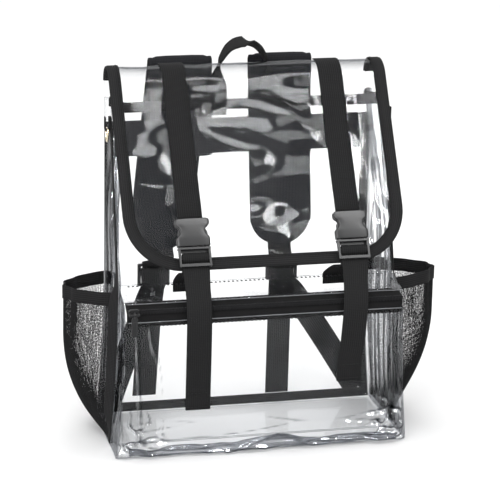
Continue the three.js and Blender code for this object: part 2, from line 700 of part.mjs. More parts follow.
// Webbing from the rear bottom corner, up behind the adjuster, over its middle bar and down as a tail
function anchorWebbing({ side, sign, adjusterX, tailX, tailEnd }) {
  const { low } = ADJUSTER;
  const corner = sign * (bodyHalf(0) - 14);
  const slope = THREE.MathUtils.radToDeg(Math.atan2(Math.abs(corner - adjusterX), low - 8));
  const rows = [
    { x: corner, y: 2.55, z: 10, lean: slope },
    { x: mix(corner, adjusterX, 0.45), y: 4.2, z: 70, lean: slope },
    { x: mix(corner, adjusterX, 0.85), y: 8, z: 120, lean: slope * 0.7 },
    { x: adjusterX, y: 9.6, z: low + 3, lean: 0 },
    { x: adjusterX, y: 9.7, z: low + 15.6, lean: 0 },
    { x: adjusterX, y: 12.7, z: low + 18.8, lean: 0 },
    { x: adjusterX, y: 15.7, z: low + 15.6, lean: 0 },
    { x: adjusterX, y: 15.8, z: low, lean: 0 },
    { x: mix(adjusterX, tailX, 0.4), y: 14.5, z: low - 34, lean: 0 },
    { x: tailX, y: 13, z: tailEnd, lean: 0 },
  ];
  const stations = rows.map(({ x, y, z, lean }, index) => {
    const before = rows[Math.max(index - 1, 0)];
    const after = rows[Math.min(index + 1, rows.length - 1)];
    const turn = THREE.MathUtils.degToRad(lean) * sign;
    const half = new THREE.Vector3(Math.cos(turn), 0, Math.sin(turn)).multiplyScalar(STRAP_WIDTH / 2);
    const along = new THREE.Vector3(after.x - before.x, after.y - before.y, after.z - before.z);
    const thick = new THREE.Vector3().crossVectors(half, along).normalize().multiplyScalar(WEBBING / 2);
    return { at: new THREE.Vector3(x, y, z), half, thick };
  });
  add(`anchor_webbing_${side}`, strip(stations), 'webbing');
}

function grabHandle() {
  const legs = [
    ...HANDLE_LEG.map((row) => ({ ...row, out: -row.out })),
    ...HANDLE_LEG.slice(0, -1).map((row) => ({ ...row, turn: 180 - row.turn })).reverse(),
  ];
  const stations = legs.map(({ out, y, z, width, turn }, index) => {
    const before = legs[Math.max(index - 1, 0)];
    const after = legs[Math.min(index + 1, legs.length - 1)];
    const along = new THREE.Vector3(after.out - before.out, 0, after.z - before.z).normalize();
    const angle = THREE.MathUtils.degToRad(turn);
    const sideways = new THREE.Vector3(along.z, 0, -along.x);
    const half = sideways.multiplyScalar(Math.cos(angle)).add(new THREE.Vector3(0, Math.sin(angle), 0));
    const thick = new THREE.Vector3().crossVectors(half, along).multiplyScalar(HANDLE.thickness / 2);
    return { at: new THREE.Vector3(HANDLE.centre + out, y, z), half: half.multiplyScalar(width / 2), thick };
  });
  add('grab_handle', strip(stations), 'webbing');
}

// A D-shaped wire ring hanging in a folded tab of webbing
function sideRings() {
  const outline = [];
  for (let side = 0; side < 6; side += 1) {
    outline.push(new THREE.Vector2(Math.cos((Math.PI * side) / 3), Math.sin((Math.PI * side) / 3)));
  }
  const path = [[-RING.halfWidth, 0], [RING.halfWidth, 0]];
  for (let step = 1; step < 8; step += 1) {
    const angle = (Math.PI * step) / 8;
    path.push([RING.halfWidth * 1.08 * Math.cos(angle), -1.5 - RING.drop * Math.sin(angle)]);
  }
  const centre = path.reduce((sum, [a, b]) => [sum[0] + a / path.length, sum[1] + b / path.length], [0, 0]);
  const rows = flatTab();
  for (const [side, sign] of [['left', -1], ['right', 1]]) {
    const face = bodyHalf(RING.top) + GAP + TAPE;
    const wireX = face + GAP + TAB.thickness + 2 * GAP + RING.wire;
    const sections = path.map(([along, fall]) => {
      const outward = new THREE.Vector3(0, along - centre[0], fall - centre[1]).normalize();
      return outline.map((corner) => new THREE.Vector3(sign * wireX, RING.y + along, RING.top + fall)
        .addScaledVector(outward, RING.wire * corner.x)
        .add(new THREE.Vector3(sign * RING.wire * corner.y, 0, 0)));
    });
    add(`side_ring_${side}`, sweep(sections, outline, true), 'brass');
    const stations = rows.map(({ out, up, outN, upN }) => ({
      at: new THREE.Vector3(sign * (wireX + out), RING.y, RING.top + up),
      half: new THREE.Vector3(0, TAB.width / 2, 0),
      thick: new THREE.Vector3(sign * outN, 0, upN).multiplyScalar(TAB.thickness / 2),
    }));
    add(`ring_tab_${side}`, strip(stations), 'webbing');
  }
}

// The tab's section: up the side, round under the ring's flat bar and up again outside it
function flatTab() {
  const radius = RING.wire + 2 * GAP + TAB.thickness / 2;
  const rise = TAB.high - RING.top;
  const rows = [{ out: -radius, up: rise, outN: 1, upN: 0 }];
  for (let step = 0; step <= 6; step += 1) {
    const angle = (Math.PI * step) / 6;
    const outN = Math.cos(angle);
    const upN = Math.sin(angle);
    rows.push({ out: -radius * outN, up: -radius * upN, outN, upN });
  }
  rows.push({ out: radius, up: rise, outN: -1, upN: 0 });
  return rows;
}

yoke();
SHOULDERS.forEach(shoulderStrap);
SHOULDERS.forEach(adjuster);
SHOULDERS.forEach(anchorWebbing);
grabHandle();
sideRings();

const part = new THREE.Group();
part.add(bag);
part.updateMatrixWorld(true);
const box = new THREE.Box3().setFromObject(part, true);
part.position.set(-(box.min.x + box.max.x) / 2, -(box.min.y + box.max.y) / 2, -box.min.z);
part.updateMatrixWorld(true);

export default part;
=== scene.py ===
"""Looks of a clear PVC backpack: sheet, tape, webbing, net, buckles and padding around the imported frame."""
import math

import bmesh
import bpy
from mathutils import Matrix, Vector, noise


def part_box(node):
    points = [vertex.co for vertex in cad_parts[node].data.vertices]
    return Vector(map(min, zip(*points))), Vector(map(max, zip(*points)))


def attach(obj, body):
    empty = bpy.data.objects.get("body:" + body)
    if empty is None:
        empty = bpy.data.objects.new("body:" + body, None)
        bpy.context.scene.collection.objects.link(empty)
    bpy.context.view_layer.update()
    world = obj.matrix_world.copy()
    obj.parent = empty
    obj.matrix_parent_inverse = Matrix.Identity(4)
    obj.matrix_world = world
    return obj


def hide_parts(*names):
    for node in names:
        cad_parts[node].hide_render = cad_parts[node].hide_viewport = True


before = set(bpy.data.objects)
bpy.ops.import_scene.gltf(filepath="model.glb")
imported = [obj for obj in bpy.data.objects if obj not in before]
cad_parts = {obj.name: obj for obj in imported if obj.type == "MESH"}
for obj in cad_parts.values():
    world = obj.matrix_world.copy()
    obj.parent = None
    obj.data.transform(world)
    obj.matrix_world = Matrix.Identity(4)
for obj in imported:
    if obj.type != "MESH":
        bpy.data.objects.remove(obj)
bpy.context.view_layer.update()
scene = bpy.context.scene

# Lengths below are millimetres in the bag's own frame: back panel at y = 0, floor at z = 0, no lean
MM = 0.001
LEAN = 0.02
BACK_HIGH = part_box("back_panel")[1]
BASE_LOW, BASE_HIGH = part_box("bottom_panel")
SHIFT = Vector(((BASE_LOW.x + BASE_HIGH.x) / 2, BACK_HIGH.y, 0.0))

# Compartment, pocket, flap and straps
HALF, FLARE, FLARE_HEIGHT = 140, 8, 160
DEPTH, RIM_DEPTH, SEAM, RIM = 100, 46, 166, 338
TUCK, TUCK_FROM = 12, 200
POCKET_DEPTH = 50
FLAP_HALF, FLAP_CORNER, FLAP_START, FLAP_BEND, FLAP_BACK = 141, 56, 314, 22, 0.8
FLAP_TOP, FLAP_SLANT, FLAP_LENGTH, FLAP_SKEW = 371, math.radians(25.9), 193, 0.043
BINDING, FLAP_GAP, FLAP_TAPE = 11, 0.8, 0.9
STRAP_WIDTH, WEBBING = 25, 1.5
BUCKLE_DOWN, BUCKLE_LIFT = 144, 3.4
FLAP_STRAPS = {
    "left": {"x": -76, "tail_x": -69, "tail_end": 51, "seam_aside": -6},
    "right": {"x": 84, "tail_x": 83, "tail_end": 71, "seam_aside": -13},
}
SIDES = {"left": -1, "right": 1}
MIRROR = Vector((-1, 1, 1))

# Clear sheet: thickness, slopes between which a fold's painted shade and painted highlight show, and weights
# of the slope aside and up, which set the side the painted light comes from
SHEET_THICK = 0.8
FOLD_SHADING_START, FOLD_SHADING_FULL = 0.2, 1.3
PAINTED_LIGHT_ASIDE, PAINTED_LIGHT_UP = 0.6, 0.8


def mix(a, b, share):
    return a + (b - a) * share


def ramp(value, low, high):
    return min(1.0, max(0.0, (value - low) / (high - low)))


def spread(low, high, count):
    """Values from low to high, in equal steps."""
    return [mix(low, high, i / count) for i in range(count + 1)]


def smooth(share):
    return share * share * (3 - 2 * share)


def body_half(z):
    return HALF + FLARE * max(0.0, 1 - z / FLARE_HEIGHT) ** 2


def front_y(z):
    return -mix(DEPTH, RIM_DEPTH, ramp(z, SEAM, RIM))


def place(p):
    """A point of the bag, in millimetres, as a place in the frame."""
    return Vector(((p[0] + LEAN * p[2]) * MM, p[1] * MM, p[2] * MM)) + SHIFT


def flap_place(p):
    return place((p[0] + FLAP_SKEW * (FLAP_TOP - p[2]), p[1], p[2]))


def unit(*parts):
    return Vector(parts).normalized()


def add_object(name, data):
    piece = bpy.data.objects.new(name, data)
    scene.collection.objects.link(piece)
    return piece


def finish_mesh(name, verts, faces, uvs, material, body="bag", closed=True):
    """A smooth mesh piece that rides on a body, with UVs in metres, from the front if none are given."""
    uvs = uvs or [(v.x, v.z) for v in verts]
    mesh = bpy.data.meshes.new(name)
    mesh.from_pydata([tuple(v) for v in verts], [], faces)
    layer = mesh.uv_layers.new(name="cloth")
    for loop in mesh.loops:
        layer.data[loop.index].uv = uvs[loop.vertex_index]
    if closed:
        shell = bmesh.new()
        shell.from_mesh(mesh)
        bmesh.ops.recalc_face_normals(shell, faces=shell.faces)
        shell.to_mesh(mesh)
        shell.free()
    mesh.shade_smooth()
    mesh.materials.append(material)
    piece = add_object(name, mesh)
    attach(piece, body)
    return piece


def mark_fold_shading(piece, heights, across, cell):
    """How steep the sheet is at each vertex: above 0 on a fold's shaded side, below 0 on its lit side, for
    the painted shade and painted highlight of the clear sheet.
    """
    fold_shading_layer = piece.data.attributes.new("fold_shading", "FLOAT", "POINT")
    last = len(heights) - 1
    for i in range(len(heights)):
        aside = heights[min(last, i + 1)] - heights[max(0, i - 1)]
        above = heights[min(last, i + across)] - heights[max(0, i - across)]
        slope = (PAINTED_LIGHT_ASIDE * aside + PAINTED_LIGHT_UP * above) / (2 * cell)
        steep = ramp(abs(slope), FOLD_SHADING_START, FOLD_SHADING_FULL)
        fold_shading_layer.data[i].value = math.copysign(steep, slope)


def grid(name, point, columns, rows, size, material, relief=None, where=place, thick=SHEET_THICK):
    """A sheet from point(u, v), pushed along its normal by relief(u, v) millimetres, with a thickness."""
    spots = [(c / columns, r / rows) for r in range(rows + 1) for c in range(columns + 1)]
    verts = [where(point(u, v)) for u, v in spots]
    uvs = [(u * size[0] * MM, v * size[1] * MM) for u, v in spots]
    across = columns + 1
    faces = []
    for r in range(rows):
        for c in range(columns):
            a = r * across + c
            faces.append((a, a + 1, a + across + 1, a + across))
    piece = finish_mesh(name, verts, faces, uvs, material, closed=False)
    if relief:
        heights = [relief(u, v) for u, v in spots]
        normals = [vertex.normal.copy() for vertex in piece.data.vertices]
        for vertex, normal, height in zip(piece.data.vertices, normals, heights):
            vertex.co += normal * height * MM
        # Slopes that carry the painted shade and painted highlight on the sheet's folds
        mark_fold_shading(piece, heights, across, size[0] / columns)
    if thick:
        solid = piece.modifiers.new("thickness", "SOLIDIFY")
        solid.thickness = thick * MM
        solid.offset = 0
    return piece


# Half of a webbing section with rounded edges: across from -1 to 1, and height from 0 to 1
SECTION = [(-1, 0), (-0.98, 0.6), (-0.92, 1), (-0.45, 1), (0, 1), (0.45, 1), (0.92, 1), (0.98, 0.6), (1, 0)]
SECTION += [(a, -b) for a, b in reversed(SECTION[1:-1])]


def catmull(a, b, c, d, t):
    """A point on the smooth curve through b and c, between their neighbours a and d."""
    bend, twist = 2 * a - 5 * b + 4 * c - d, 3 * b - a - 3 * c + d
    return 0.5 * (2 * b + (c - a) * t + bend * t * t + twist * t ** 3)


def skin(ring, count, closed=False):
    """Faces between rings of points, with a face over each end unless the run closes on itself."""
    faces = []
    for i in range(count if closed else count - 1):
        after = (i + 1) % count
        for k in range(ring):
            beside = (k + 1) % ring
            faces.append((i * ring + k, i * ring + beside, after * ring + beside, after * ring + k))
    if not closed:
        faces += [tuple(range(ring))[::-1], tuple(range((count - 1) * ring, count * ring))]
    return faces


def band(name, stations, material, where=place, step=4.0, rounded=True, section=SECTION):
    """A closed strip through stations of centre, half-width vector and thickness, with rounded edges."""
    centres = [Vector(s[0]) for s in stations]
    count = len(centres)
    fine = []
    for i in range(count - 1):
        a, b, c, d = (centres[max(0, i - 1)], centres[i], centres[i + 1], centres[min(count - 1, i + 2)])
        parts = max(1, round((c - b).length / step))
        for k in range(parts):
            t = k / parts
            at = catmull(a, b, c, d, t) if rounded else b.lerp(c, t)
            half = Vector(stations[i][1]).lerp(Vector(stations[i + 1][1]), t)
            fine.append((at, half, mix(stations[i][2], stations[i + 1][2], t)))
    fine.append((centres[-1], Vector(stations[-1][1]), stations[-1][2]))
    verts, uvs = [], []
    run = 0.0
    for i, (at, half, thickness) in enumerate(fine):
        ahead = fine[min(i + 1, len(fine) - 1)][0] - fine[max(i - 1, 0)][0]
        out = half.cross(ahead).normalized() * thickness / 2
        if i:
            run += (at - fine[i - 1][0]).length
        for across, height in section:
            verts.append(where(at + half * across + out * height))
            uvs.append((run * MM, across * half.length * MM))
    return finish_mesh(name, verts, skin(len(section), len(fine)), uvs, material)


def along_x(rows, width=STRAP_WIDTH, thickness=WEBBING):
    """Stations of a strap whose width runs along X, from rows of x, y, z and an own width and thickness."""
    stations = []
    for row in rows:
        own = row[3] if len(row) > 3 else width
        deep = row[4] if len(row) > 4 else thickness
        stations.append((row[:3], (own / 2, 0, 0), deep))
    return stations


# Clear sheet: gloss face on and at grazing angles, painted shade and painted highlight on the flanks of
# folds, and two sizes of wave
FACING_GLOSS, GRAZING_GLOSS, GRAZING_POWER, SHEET_ROUGHNESS = 0.006, 0.45, 5.0, 0.035
FOLD_PAINTED_SHADE, FOLD_PAINTED_HIGHLIGHT = 0.95, 0.3
EDGE_TINT, SHEET_GLOSS = (0.2, 0.21, 0.23), (0.97, 0.98, 1)
BROAD_WAVES, SMALL_WAVES, SMALL_WAVE_SHARE, WAVE_HEIGHT = 16, 55, 0.3, 0.004
# Woven tape: shares of its ribs, threads and slow patches, and the height of its weave
RIB_SHARE, THREAD_SHARE, PATCH_SHARE, PATCHES, WEAVE_HEIGHT, WEAVE_GLOSS = 0.18, 0.32, 0.3, 45, 0.0004, 0.12
# Moulded plastic and brass: fineness of grain and patches, and their change of roughness
GRAIN, GRAIN_SHARE, GRAIN_HEIGHT, PLASTIC_PATCHES = 900, 0.12, 0.0002, 60
BRASS_PATCHES, BRASS_ROUGHNESS, BRASS_UNEVEN = 300, 0.18, 0.15


def new_material(name, kind="ShaderNodeBsdfPrincipled"):
    """A material, its nodes, and the shader that makes its surface."""
    material = bpy.data.materials.new(name)
    material.use_nodes = True
    tree = material.node_tree
    tree.nodes.clear()
    shader = tree.nodes.new(kind)
    out = tree.nodes.new("ShaderNodeOutputMaterial")
    tree.links.new(shader.outputs[0], out.inputs["Surface"])
    return material, tree, shader


def math_node(tree, operation, a, b=None):
    node = tree.nodes.new("ShaderNodeMath")
    node.operation = operation
    for socket, value in zip(node.inputs, (a, b)):
        if value is None:
            continue
        if isinstance(value, (int, float)):
            socket.default_value = value
        else:
            tree.links.new(value, socket)
    return node.outputs[0]


def times(tree, a, b):
    return math_node(tree, "MULTIPLY", a, b)


def plus(tree, a, b):
    return math_node(tree, "ADD", a, b)


def noise_node(tree, scale, detail=3.0):
    texture = tree.nodes.new("ShaderNodeTexNoise")
    texture.inputs["Scale"].default_value = scale
    texture.inputs["Detail"].default_value = detail
    source = tree.nodes.new("ShaderNodeTexCoord")
    tree.links.new(source.outputs["Object"], texture.inputs["Vector"])
    return texture.outputs["Fac"]


def bump_node(tree, height, strength, distance):
    bump = tree.nodes.new("ShaderNodeBump")
    bump.inputs["Strength"].default_value = strength
    bump.inputs["Distance"].default_value = distance
    tree.links.new(height, bump.inputs["Height"])
    return bump.outputs["Normal"]


def colour_ramp(tree, factor, dark, light):
    node = tree.nodes.new("ShaderNodeValToRGB")
    node.color_ramp.elements[0].color = (*dark, 1)
    node.color_ramp.elements[1].color = (*light, 1)
    tree.links.new(factor, node.inputs["Fac"])
    return node.outputs["Color"]


def clear_sheet(name, tint, waviness, edge_power):
    """Clear plastic sheet: light goes straight through, and gloss grows towards grazing angles."""
    material, tree, blend = new_material(name, "ShaderNodeMixShader")
    through = tree.nodes.new("ShaderNodeBsdfTransparent")
    gloss = tree.nodes.new("ShaderNodeBsdfGlossy")
    gloss.inputs["Roughness"].default_value = SHEET_ROUGHNESS
    gloss.inputs["Color"].default_value = (*SHEET_GLOSS, 1)
    small = times(tree, noise_node(tree, SMALL_WAVES, 1.0), SMALL_WAVE_SHARE)
    waves = plus(tree, noise_node(tree, BROAD_WAVES, 1.0), small)
    normal = bump_node(tree, waves, waviness, WAVE_HEIGHT)
    tree.links.new(normal, gloss.inputs["Normal"])
    weight = tree.nodes.new("ShaderNodeLayerWeight")
    weight.inputs["Blend"].default_value = 0.5
    tree.links.new(normal, weight.inputs["Normal"])
    # Painted shade and painted highlight of folds, read from the slope stored on each sheet
    fold_shading = tree.nodes.new("ShaderNodeAttribute")
    fold_shading.attribute_name = "fold_shading"
    edge = math_node(tree, "POWER", weight.outputs["Facing"], edge_power)
    # Painted shade: the shaded flank of a fold darkens the tint that lets light through
    edge = math_node(tree, "MAXIMUM", edge, times(tree, fold_shading.outputs["Fac"], FOLD_PAINTED_SHADE))
    tree.links.new(colour_ramp(tree, edge, tint, EDGE_TINT), through.inputs["Color"])
    grazing = math_node(tree, "POWER", weight.outputs["Facing"], GRAZING_POWER)
    shine = plus(tree, times(tree, grazing, GRAZING_GLOSS), FACING_GLOSS)
    # Painted highlight: the lit flank of a fold gets extra gloss
    lit = math_node(tree, "MAXIMUM", times(tree, fold_shading.outputs["Fac"], -FOLD_PAINTED_HIGHLIGHT), 0.0)
    shine = plus(tree, shine, lit)
    tree.links.new(shine, blend.inputs["Fac"])
    tree.links.new(through.outputs["BSDF"], blend.inputs[1])
    tree.links.new(gloss.outputs["BSDF"], blend.inputs[2])
    return material


def woven(name, dark, light, pitch, cross_pitch, strength, roughness=0.85):
    """Woven tape: ribs along the run, finer threads across it, and slow unevenness of colour."""
    material, tree, shader = new_material(name)
    shader.inputs["Roughness"].default_value = roughness
    shader.inputs["Specular IOR Level"].default_value = WEAVE_GLOSS
    source = tree.nodes.new("ShaderNodeTexCoord")
    split = tree.nodes.new("ShaderNodeSeparateXYZ")
    tree.links.new(source.outputs["UV"], split.inputs[0])
    turns = 2 * math.pi / MM
    rib = math_node(tree, "SINE", times(tree, split.outputs["X"], turns / pitch))
    thread = math_node(tree, "SINE", times(tree, split.outputs["Y"], turns / cross_pitch))
    lines = plus(tree, times(tree, thread, THREAD_SHARE), times(tree, rib, RIB_SHARE))
    weave = plus(tree, lines, 0.5)
    patches = times(tree, noise_node(tree, PATCHES), PATCH_SHARE)
    tone = plus(tree, times(tree, weave, 1 - PATCH_SHARE), patches)
    tree.links.new(colour_ramp(tree, tone, dark, light), shader.inputs["Base Color"])
    tree.links.new(bump_node(tree, weave, strength, WEAVE_HEIGHT), shader.inputs["Normal"])
    return material


def moulded(name, dark, light, roughness, gloss=0.32):
    """Moulded plastic: fine grain in its gloss and a slightly uneven tone."""
    material, tree, shader = new_material(name)
    shader.inputs["Specular IOR Level"].default_value = gloss
    grain = noise_node(tree, GRAIN, 2.0)
    tone = noise_node(tree, PLASTIC_PATCHES)
    tree.links.new(colour_ramp(tree, tone, dark, light), shader.inputs["Base Color"])
    rough = plus(tree, times(tree, grain, GRAIN_SHARE), roughness)
    tree.links.new(rough, shader.inputs["Roughness"])
    tree.links.new(bump_node(tree, grain, GRAIN_SHARE, GRAIN_HEIGHT), shader.inputs["Normal"])
    return material


def polished(name, dark, light):
    """Polished metal with a slightly uneven tone and gloss."""
    material, tree, shader = new_material(name)
    shader.inputs["Metallic"].default_value = 1.0
    tone = noise_node(tree, BRASS_PATCHES)
    tree.links.new(colour_ramp(tree, tone, dark, light), shader.inputs["Base Color"])
    rough = plus(tree, times(tree, tone, BRASS_UNEVEN), BRASS_ROUGHNESS)
    tree.links.new(rough, shader.inputs["Roughness"])
    return material


# Sheets by tint, waviness and power of the edge tint, cloth by dark and light tone, pitches and relief
CLEAR_TINT = (0.998, 0.999, 1.0)
CLEAR = clear_sheet("clear_pvc", CLEAR_TINT, 0.3, 2.4)
CLEAR_LID = clear_sheet("clear_pvc_lid", CLEAR_TINT, 0.5, 6)
CLEAR_TAUT = clear_sheet("clear_pvc_taut", CLEAR_TINT, 0.14, 11)
# Doubled sheet of the hem: its strong grey tint, far darker than two clear layers, is painted shade along the
# pocket's lower fold
CLEAR_DOUBLE_SHADED = clear_sheet("clear_pvc_double_painted_shade", (0.66, 0.67, 0.69), 1.0, 1.0)
CLEAR_SIDE = clear_sheet("clear_pvc_side", CLEAR_TINT, 0.3, 2.2)
WEB = woven("webbing", (0.0025, 0.0025, 0.0027), (0.0155, 0.0155, 0.0163), 1.6, 2.1, 0.7)
EDGE = woven("seam_tape", (0.003, 0.003, 0.00324), (0.022, 0.022, 0.0231), 1.6, 2.0, 0.6)
PADDED = woven("padded_strap", (0.0035, 0.0037, 0.0046), (0.017, 0.018, 0.022), 1.6, 1.6, 0.5)
NET = woven("net", (0.005, 0.005, 0.0054), (0.02, 0.02, 0.021), 0.7, 0.7, 0.3)
ZIP = woven("zip", (0.003, 0.003, 0.00324), (0.01, 0.01, 0.0106), 0.8, 1.0, 0.4)
THREAD = woven("thread", (0.01, 0.01, 0.0108), (0.03, 0.03, 0.0318), 0.5, 0.5, 0.2)
PLASTIC = moulded("buckle_plastic", (0.005, 0.0051, 0.0058), (0.011, 0.0113, 0.0127), 0.32)
COIL = moulded("zip_coil", (0.006, 0.006, 0.007), (0.014, 0.014, 0.015), 0.55, 0.1)
# Pale grey tubes on the sheet's cut edges: painted highlight
PAINTED_EDGE_HIGHLIGHT = moulded("clear_pvc_edge_painted_highlight", (0.06, 0.062, 0.066), (0.3, 0.31, 0.33), 0.25)
BRASS = polished("brass_ring", (0.55, 0.46, 0.31), (0.8, 0.72, 0.56))


def use(piece, slot, *nodes):
    """The piece stands for these CAD nodes, which it hides; its slot is not used."""
    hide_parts(*nodes)
    return piece


def ripple(x, z, size, seed):
    """Slow unevenness of a sheet at a place on it, -1 to 1, with waves of a size in millimetres."""
    return noise.noise(Vector((x / size, z / size, seed)))


def ridge(x, z, size, seed, sharp=5.0):
    """Sharp folds, 0 to 1: a ridge along every line where slow noise crosses zero."""
    return (1 - min(1.0, abs(ripple(x, z, size, seed)) * sharp)) ** 2


# Stitching: each stitch dips into the cloth at both ends
STITCH, STITCH_GAP, STITCH_HALF = 2.3, 1.3, 0.24
STITCH_END, STITCH_HEIGHTS = 0.5, (-0.2, 0.4, 0.4, -0.2)
STITCH_FACES = ((0, 1, 3, 2), (2, 3, 5, 4), (4, 5, 7, 6), (0, 6, 7, 1), (0, 2, 4, 6), (1, 7, 5, 3))


def stitching(name, line, where=place, half=STITCH_HALF):
    """Separate stitches along points, each given with the way out of the cloth."""
    verts, faces = [], []
    left = 0.0
    for (a, out), (b, _) in zip(line, line[1:]):
        a, b, out = Vector(a), Vector(b), Vector(out)
        ahead = (b - a).normalized()
        across = out.cross(ahead).normalized() * half
        while left + STITCH <= (b - a).length + STITCH_END:
            start, end = a + ahead * left, a + ahead * (left + STITCH)
            spots = (start, start + ahead * STITCH_END, end - ahead * STITCH_END, end)
            first = len(verts)
            for at, high in zip(spots, STITCH_HEIGHTS):
                verts += [where(at + across + out * high), where(at - across + out * high)]
            faces += [tuple(first + k for k in face) for face in STITCH_FACES]
            left += STITCH + STITCH_GAP
        left = max(0.0, left - (b - a).length)
    piece = finish_mesh(name, verts, faces, None, THREAD)
    return piece


# Main compartment: how far panels are sewn in from an edge, and their sheet from the outer face
SEWN_IN, SHEET_IN = 1.3, 0.5


def side_point(sign, s, z):
    tuck = TUCK * math.sin(math.pi * s) * smooth(ramp(z, TUCK_FROM, RIM))
    return (sign * (body_half(z) - tuck), mix(front_y(z) + SEWN_IN, -SEWN_IN, s), z)


def panel_relief(width, height, seed, slow=1.4, sharp=0.7, upright=0.0):
    """Waves that die away at the sewn edges of a panel, with a few sharp folds."""
    def relief(u, v):
        hold = min(1.0, 12 * u * (1 - u)) * min(1.0, 12 * v * (1 - v))
        x, z = u * width, v * height
        folds = sharp * ridge(x, z * 0.45, 60, seed + 3)
        if upright:
            folds += upright * ridge(x * 1.4, z * 0.1, 26, seed + 6, 3)
        return hold * (slow * ripple(x, z, 70, seed) + folds)
    return relief


def compartment():
    def base(u, v):
        return (mix(-1, 1, u) * body_half(0), mix(-DEPTH, 0, v), SHEET_IN)

    width, tall = 2 * HALF, RIM
    for name, seed in (("back_panel", 1.7), ("front_panel", 5.2)):
        def point(u, v):
            z = mix(SEWN_IN, RIM, v)
            y = -SHEET_IN if name == "back_panel" else front_y(z) + SHEET_IN
            return (mix(-1, 1, u) * body_half(z), y, z)

        relief = panel_relief(width, tall, seed)
        piece = grid(name + "_sheet", point, 56, 64, (width, tall), CLEAR_TAUT, relief)
        use(piece, "clear_pvc", name)
    for side, sign in SIDES.items():
        def gusset(u, v):
            return side_point(sign, u, mix(SEWN_IN, RIM, v))

        relief = panel_relief(DEPTH, tall, 8 + sign, slow=1.0, sharp=0.6, upright=5.0)
        piece = grid(f"side_panel_{side}_sheet", gusset, 48, 64, (DEPTH, tall), CLEAR_SIDE, relief)
        use(piece, "clear_pvc", f"side_panel_{side}")
    piece = grid("bottom_panel_sheet", base, 40, 16, (2 * body_half(0), DEPTH), CLEAR_TAUT)
    use(piece, "clear_pvc", "bottom_panel")


# Tape on its seams: thickness, widths, room in the rim tape's fold, and lift off the panels
TAPE, SEAM_TAPE, RIM_TAPE, RIM_GAP, TAPE_OUT = 1.2, 10, 9, 0.6, 0.9


def channel(name, edge, downs, acrosses, depth, gap, thick, material, where=place):
    """Tape folded over an edge: points of the edge, with the way down from it and the way across it."""
    outside = gap + thick
    profile = [(-outside, depth), (-outside, 1.2), (-outside * 0.6, -0.8), (0, -1.3)]
    profile += [(-a, d) for a, d in reversed(profile[:-1])]
    profile += [(gap, depth), (gap, 1.2), (-gap, 1.2), (-gap, depth)]
    verts, uvs = [], []
    run = 0.0
    around = [0.0]
    for a, b in zip(profile, profile[1:]):
        around.append(around[-1] + math.dist(a, b))
    for i, (at, down, across) in enumerate(zip(edge, downs, acrosses)):
        if i:
            run += (Vector(at) - Vector(edge[i - 1])).length
        for (out, fall), far in zip(profile, around):
            verts.append(where(Vector(at) + Vector(across) * out + Vector(down) * fall))
            uvs.append((run * MM, far * MM))
    return finish_mesh(name, verts, skin(len(profile), len(edge)), uvs, material)


def rim_tapes():
    reach = HALF - 3
    slope = unit(0, front_y(SEAM) - front_y(RIM), SEAM - RIM)
    edge = [(x, front_y(RIM) + SHEET_IN, RIM) for x in spread(-reach, reach, 40)]
    downs, acrosses = [slope] * len(edge), [(0, 1, 0)] * len(edge)
    tape = channel("rim_front_tape", edge, downs, acrosses, RIM_TAPE, RIM_GAP, TAPE, EDGE)
    use(tape, "seam_tape", "rim_binding_front")
    for side, sign in SIDES.items():
        edge, downs = [], []
        for s in spread(0.125, 0.875, 20):
            top, below = Vector(side_point(sign, s, RIM)), Vector(side_point(sign, s, RIM - 16))
            edge.append(top - Vector((sign * SHEET_IN, 0, 0)))
            downs.append((below - top).normalized())
        acrosses = [(1, 0, 0)] * len(edge)
        tape = channel(f"rim_{side}_tape", edge, downs, acrosses, RIM_TAPE, RIM_GAP, TAPE, EDGE)
        use(tape, "seam_tape", f"rim_binding_{side}")


def seam_tapes():
    top = FLAP_START - 2
    outer = [Vector((-body_half(z), TAPE_OUT, z)) for z in spread(top, SEWN_IN, 24)]
    inner = [Vector((SEAM_TAPE - body_half(z), TAPE_OUT, z)) for z in spread(top, SEWN_IN + SEAM_TAPE, 24)]
    outer += [p * MIRROR for p in reversed(outer)]
    inner += [p * MIRROR for p in reversed(inner)]
    stations = [((a + b) / 2, (b - a) / 2, TAPE) for a, b in zip(outer, inner)]
    use(band("rear_tape", stations, EDGE, rounded=False), "seam_tape", "rear_binding")
    for side, sign in SIDES.items():
        stations = []
        for z in spread(4, RIM - RIM_TAPE - 3, 32):
            lift = 4 * smooth(ramp(z, 10, 40)) * (1 - smooth(ramp(z, 145, 175)))
            at = (sign * (body_half(z) + TAPE_OUT + lift), front_y(z) + 1, z)
            stations.append((at, Vector((sign * lift, SEAM_TAPE / 2, 0)), TAPE))
        use(band(f"front_tape_{side}", stations, EDGE, rounded=False), "seam_tape", f"front_binding_{side}")


# Front pocket: y and z of its edges at the zip, and radii of its lower fold and of its corners
POCKET_FRONT, POCKET_BACK = -DEPTH - POCKET_DEPTH, -DEPTH - 0.3
POCKET_TOP_EDGE, POCKET_FRONT_EDGE = (-139.5, 157), (-149, 141)
FOLD, CORNER = 9, 5
QUARTER = math.pi / 2
# Front edge of its sides: y and z at the foot, the bend, the zip and the seam
POCKET_SIDE_EDGE = [(-144.6, 1.3), (-144.4, 137), (-139, 154.5), (-103, 163.5)]


def crumple(x, z, seed):
    """Folds that gather at the lower corners and along the side edges of the pocket."""
    edge = 1 - ramp(HALF - abs(x), 2, 44)
    low = 1 - ramp(z, 8, 56)
    corner = edge * low
    upright = ridge(x * 1.5, z * 0.2, 24, seed) * edge * 6
    broken = ridge(x, z, 17, seed + 2, 4) * corner * 18
    hem = ridge(x * 0.2, z * 2.2, 26, seed + 5) * low * 4
    return upright + broken + hem


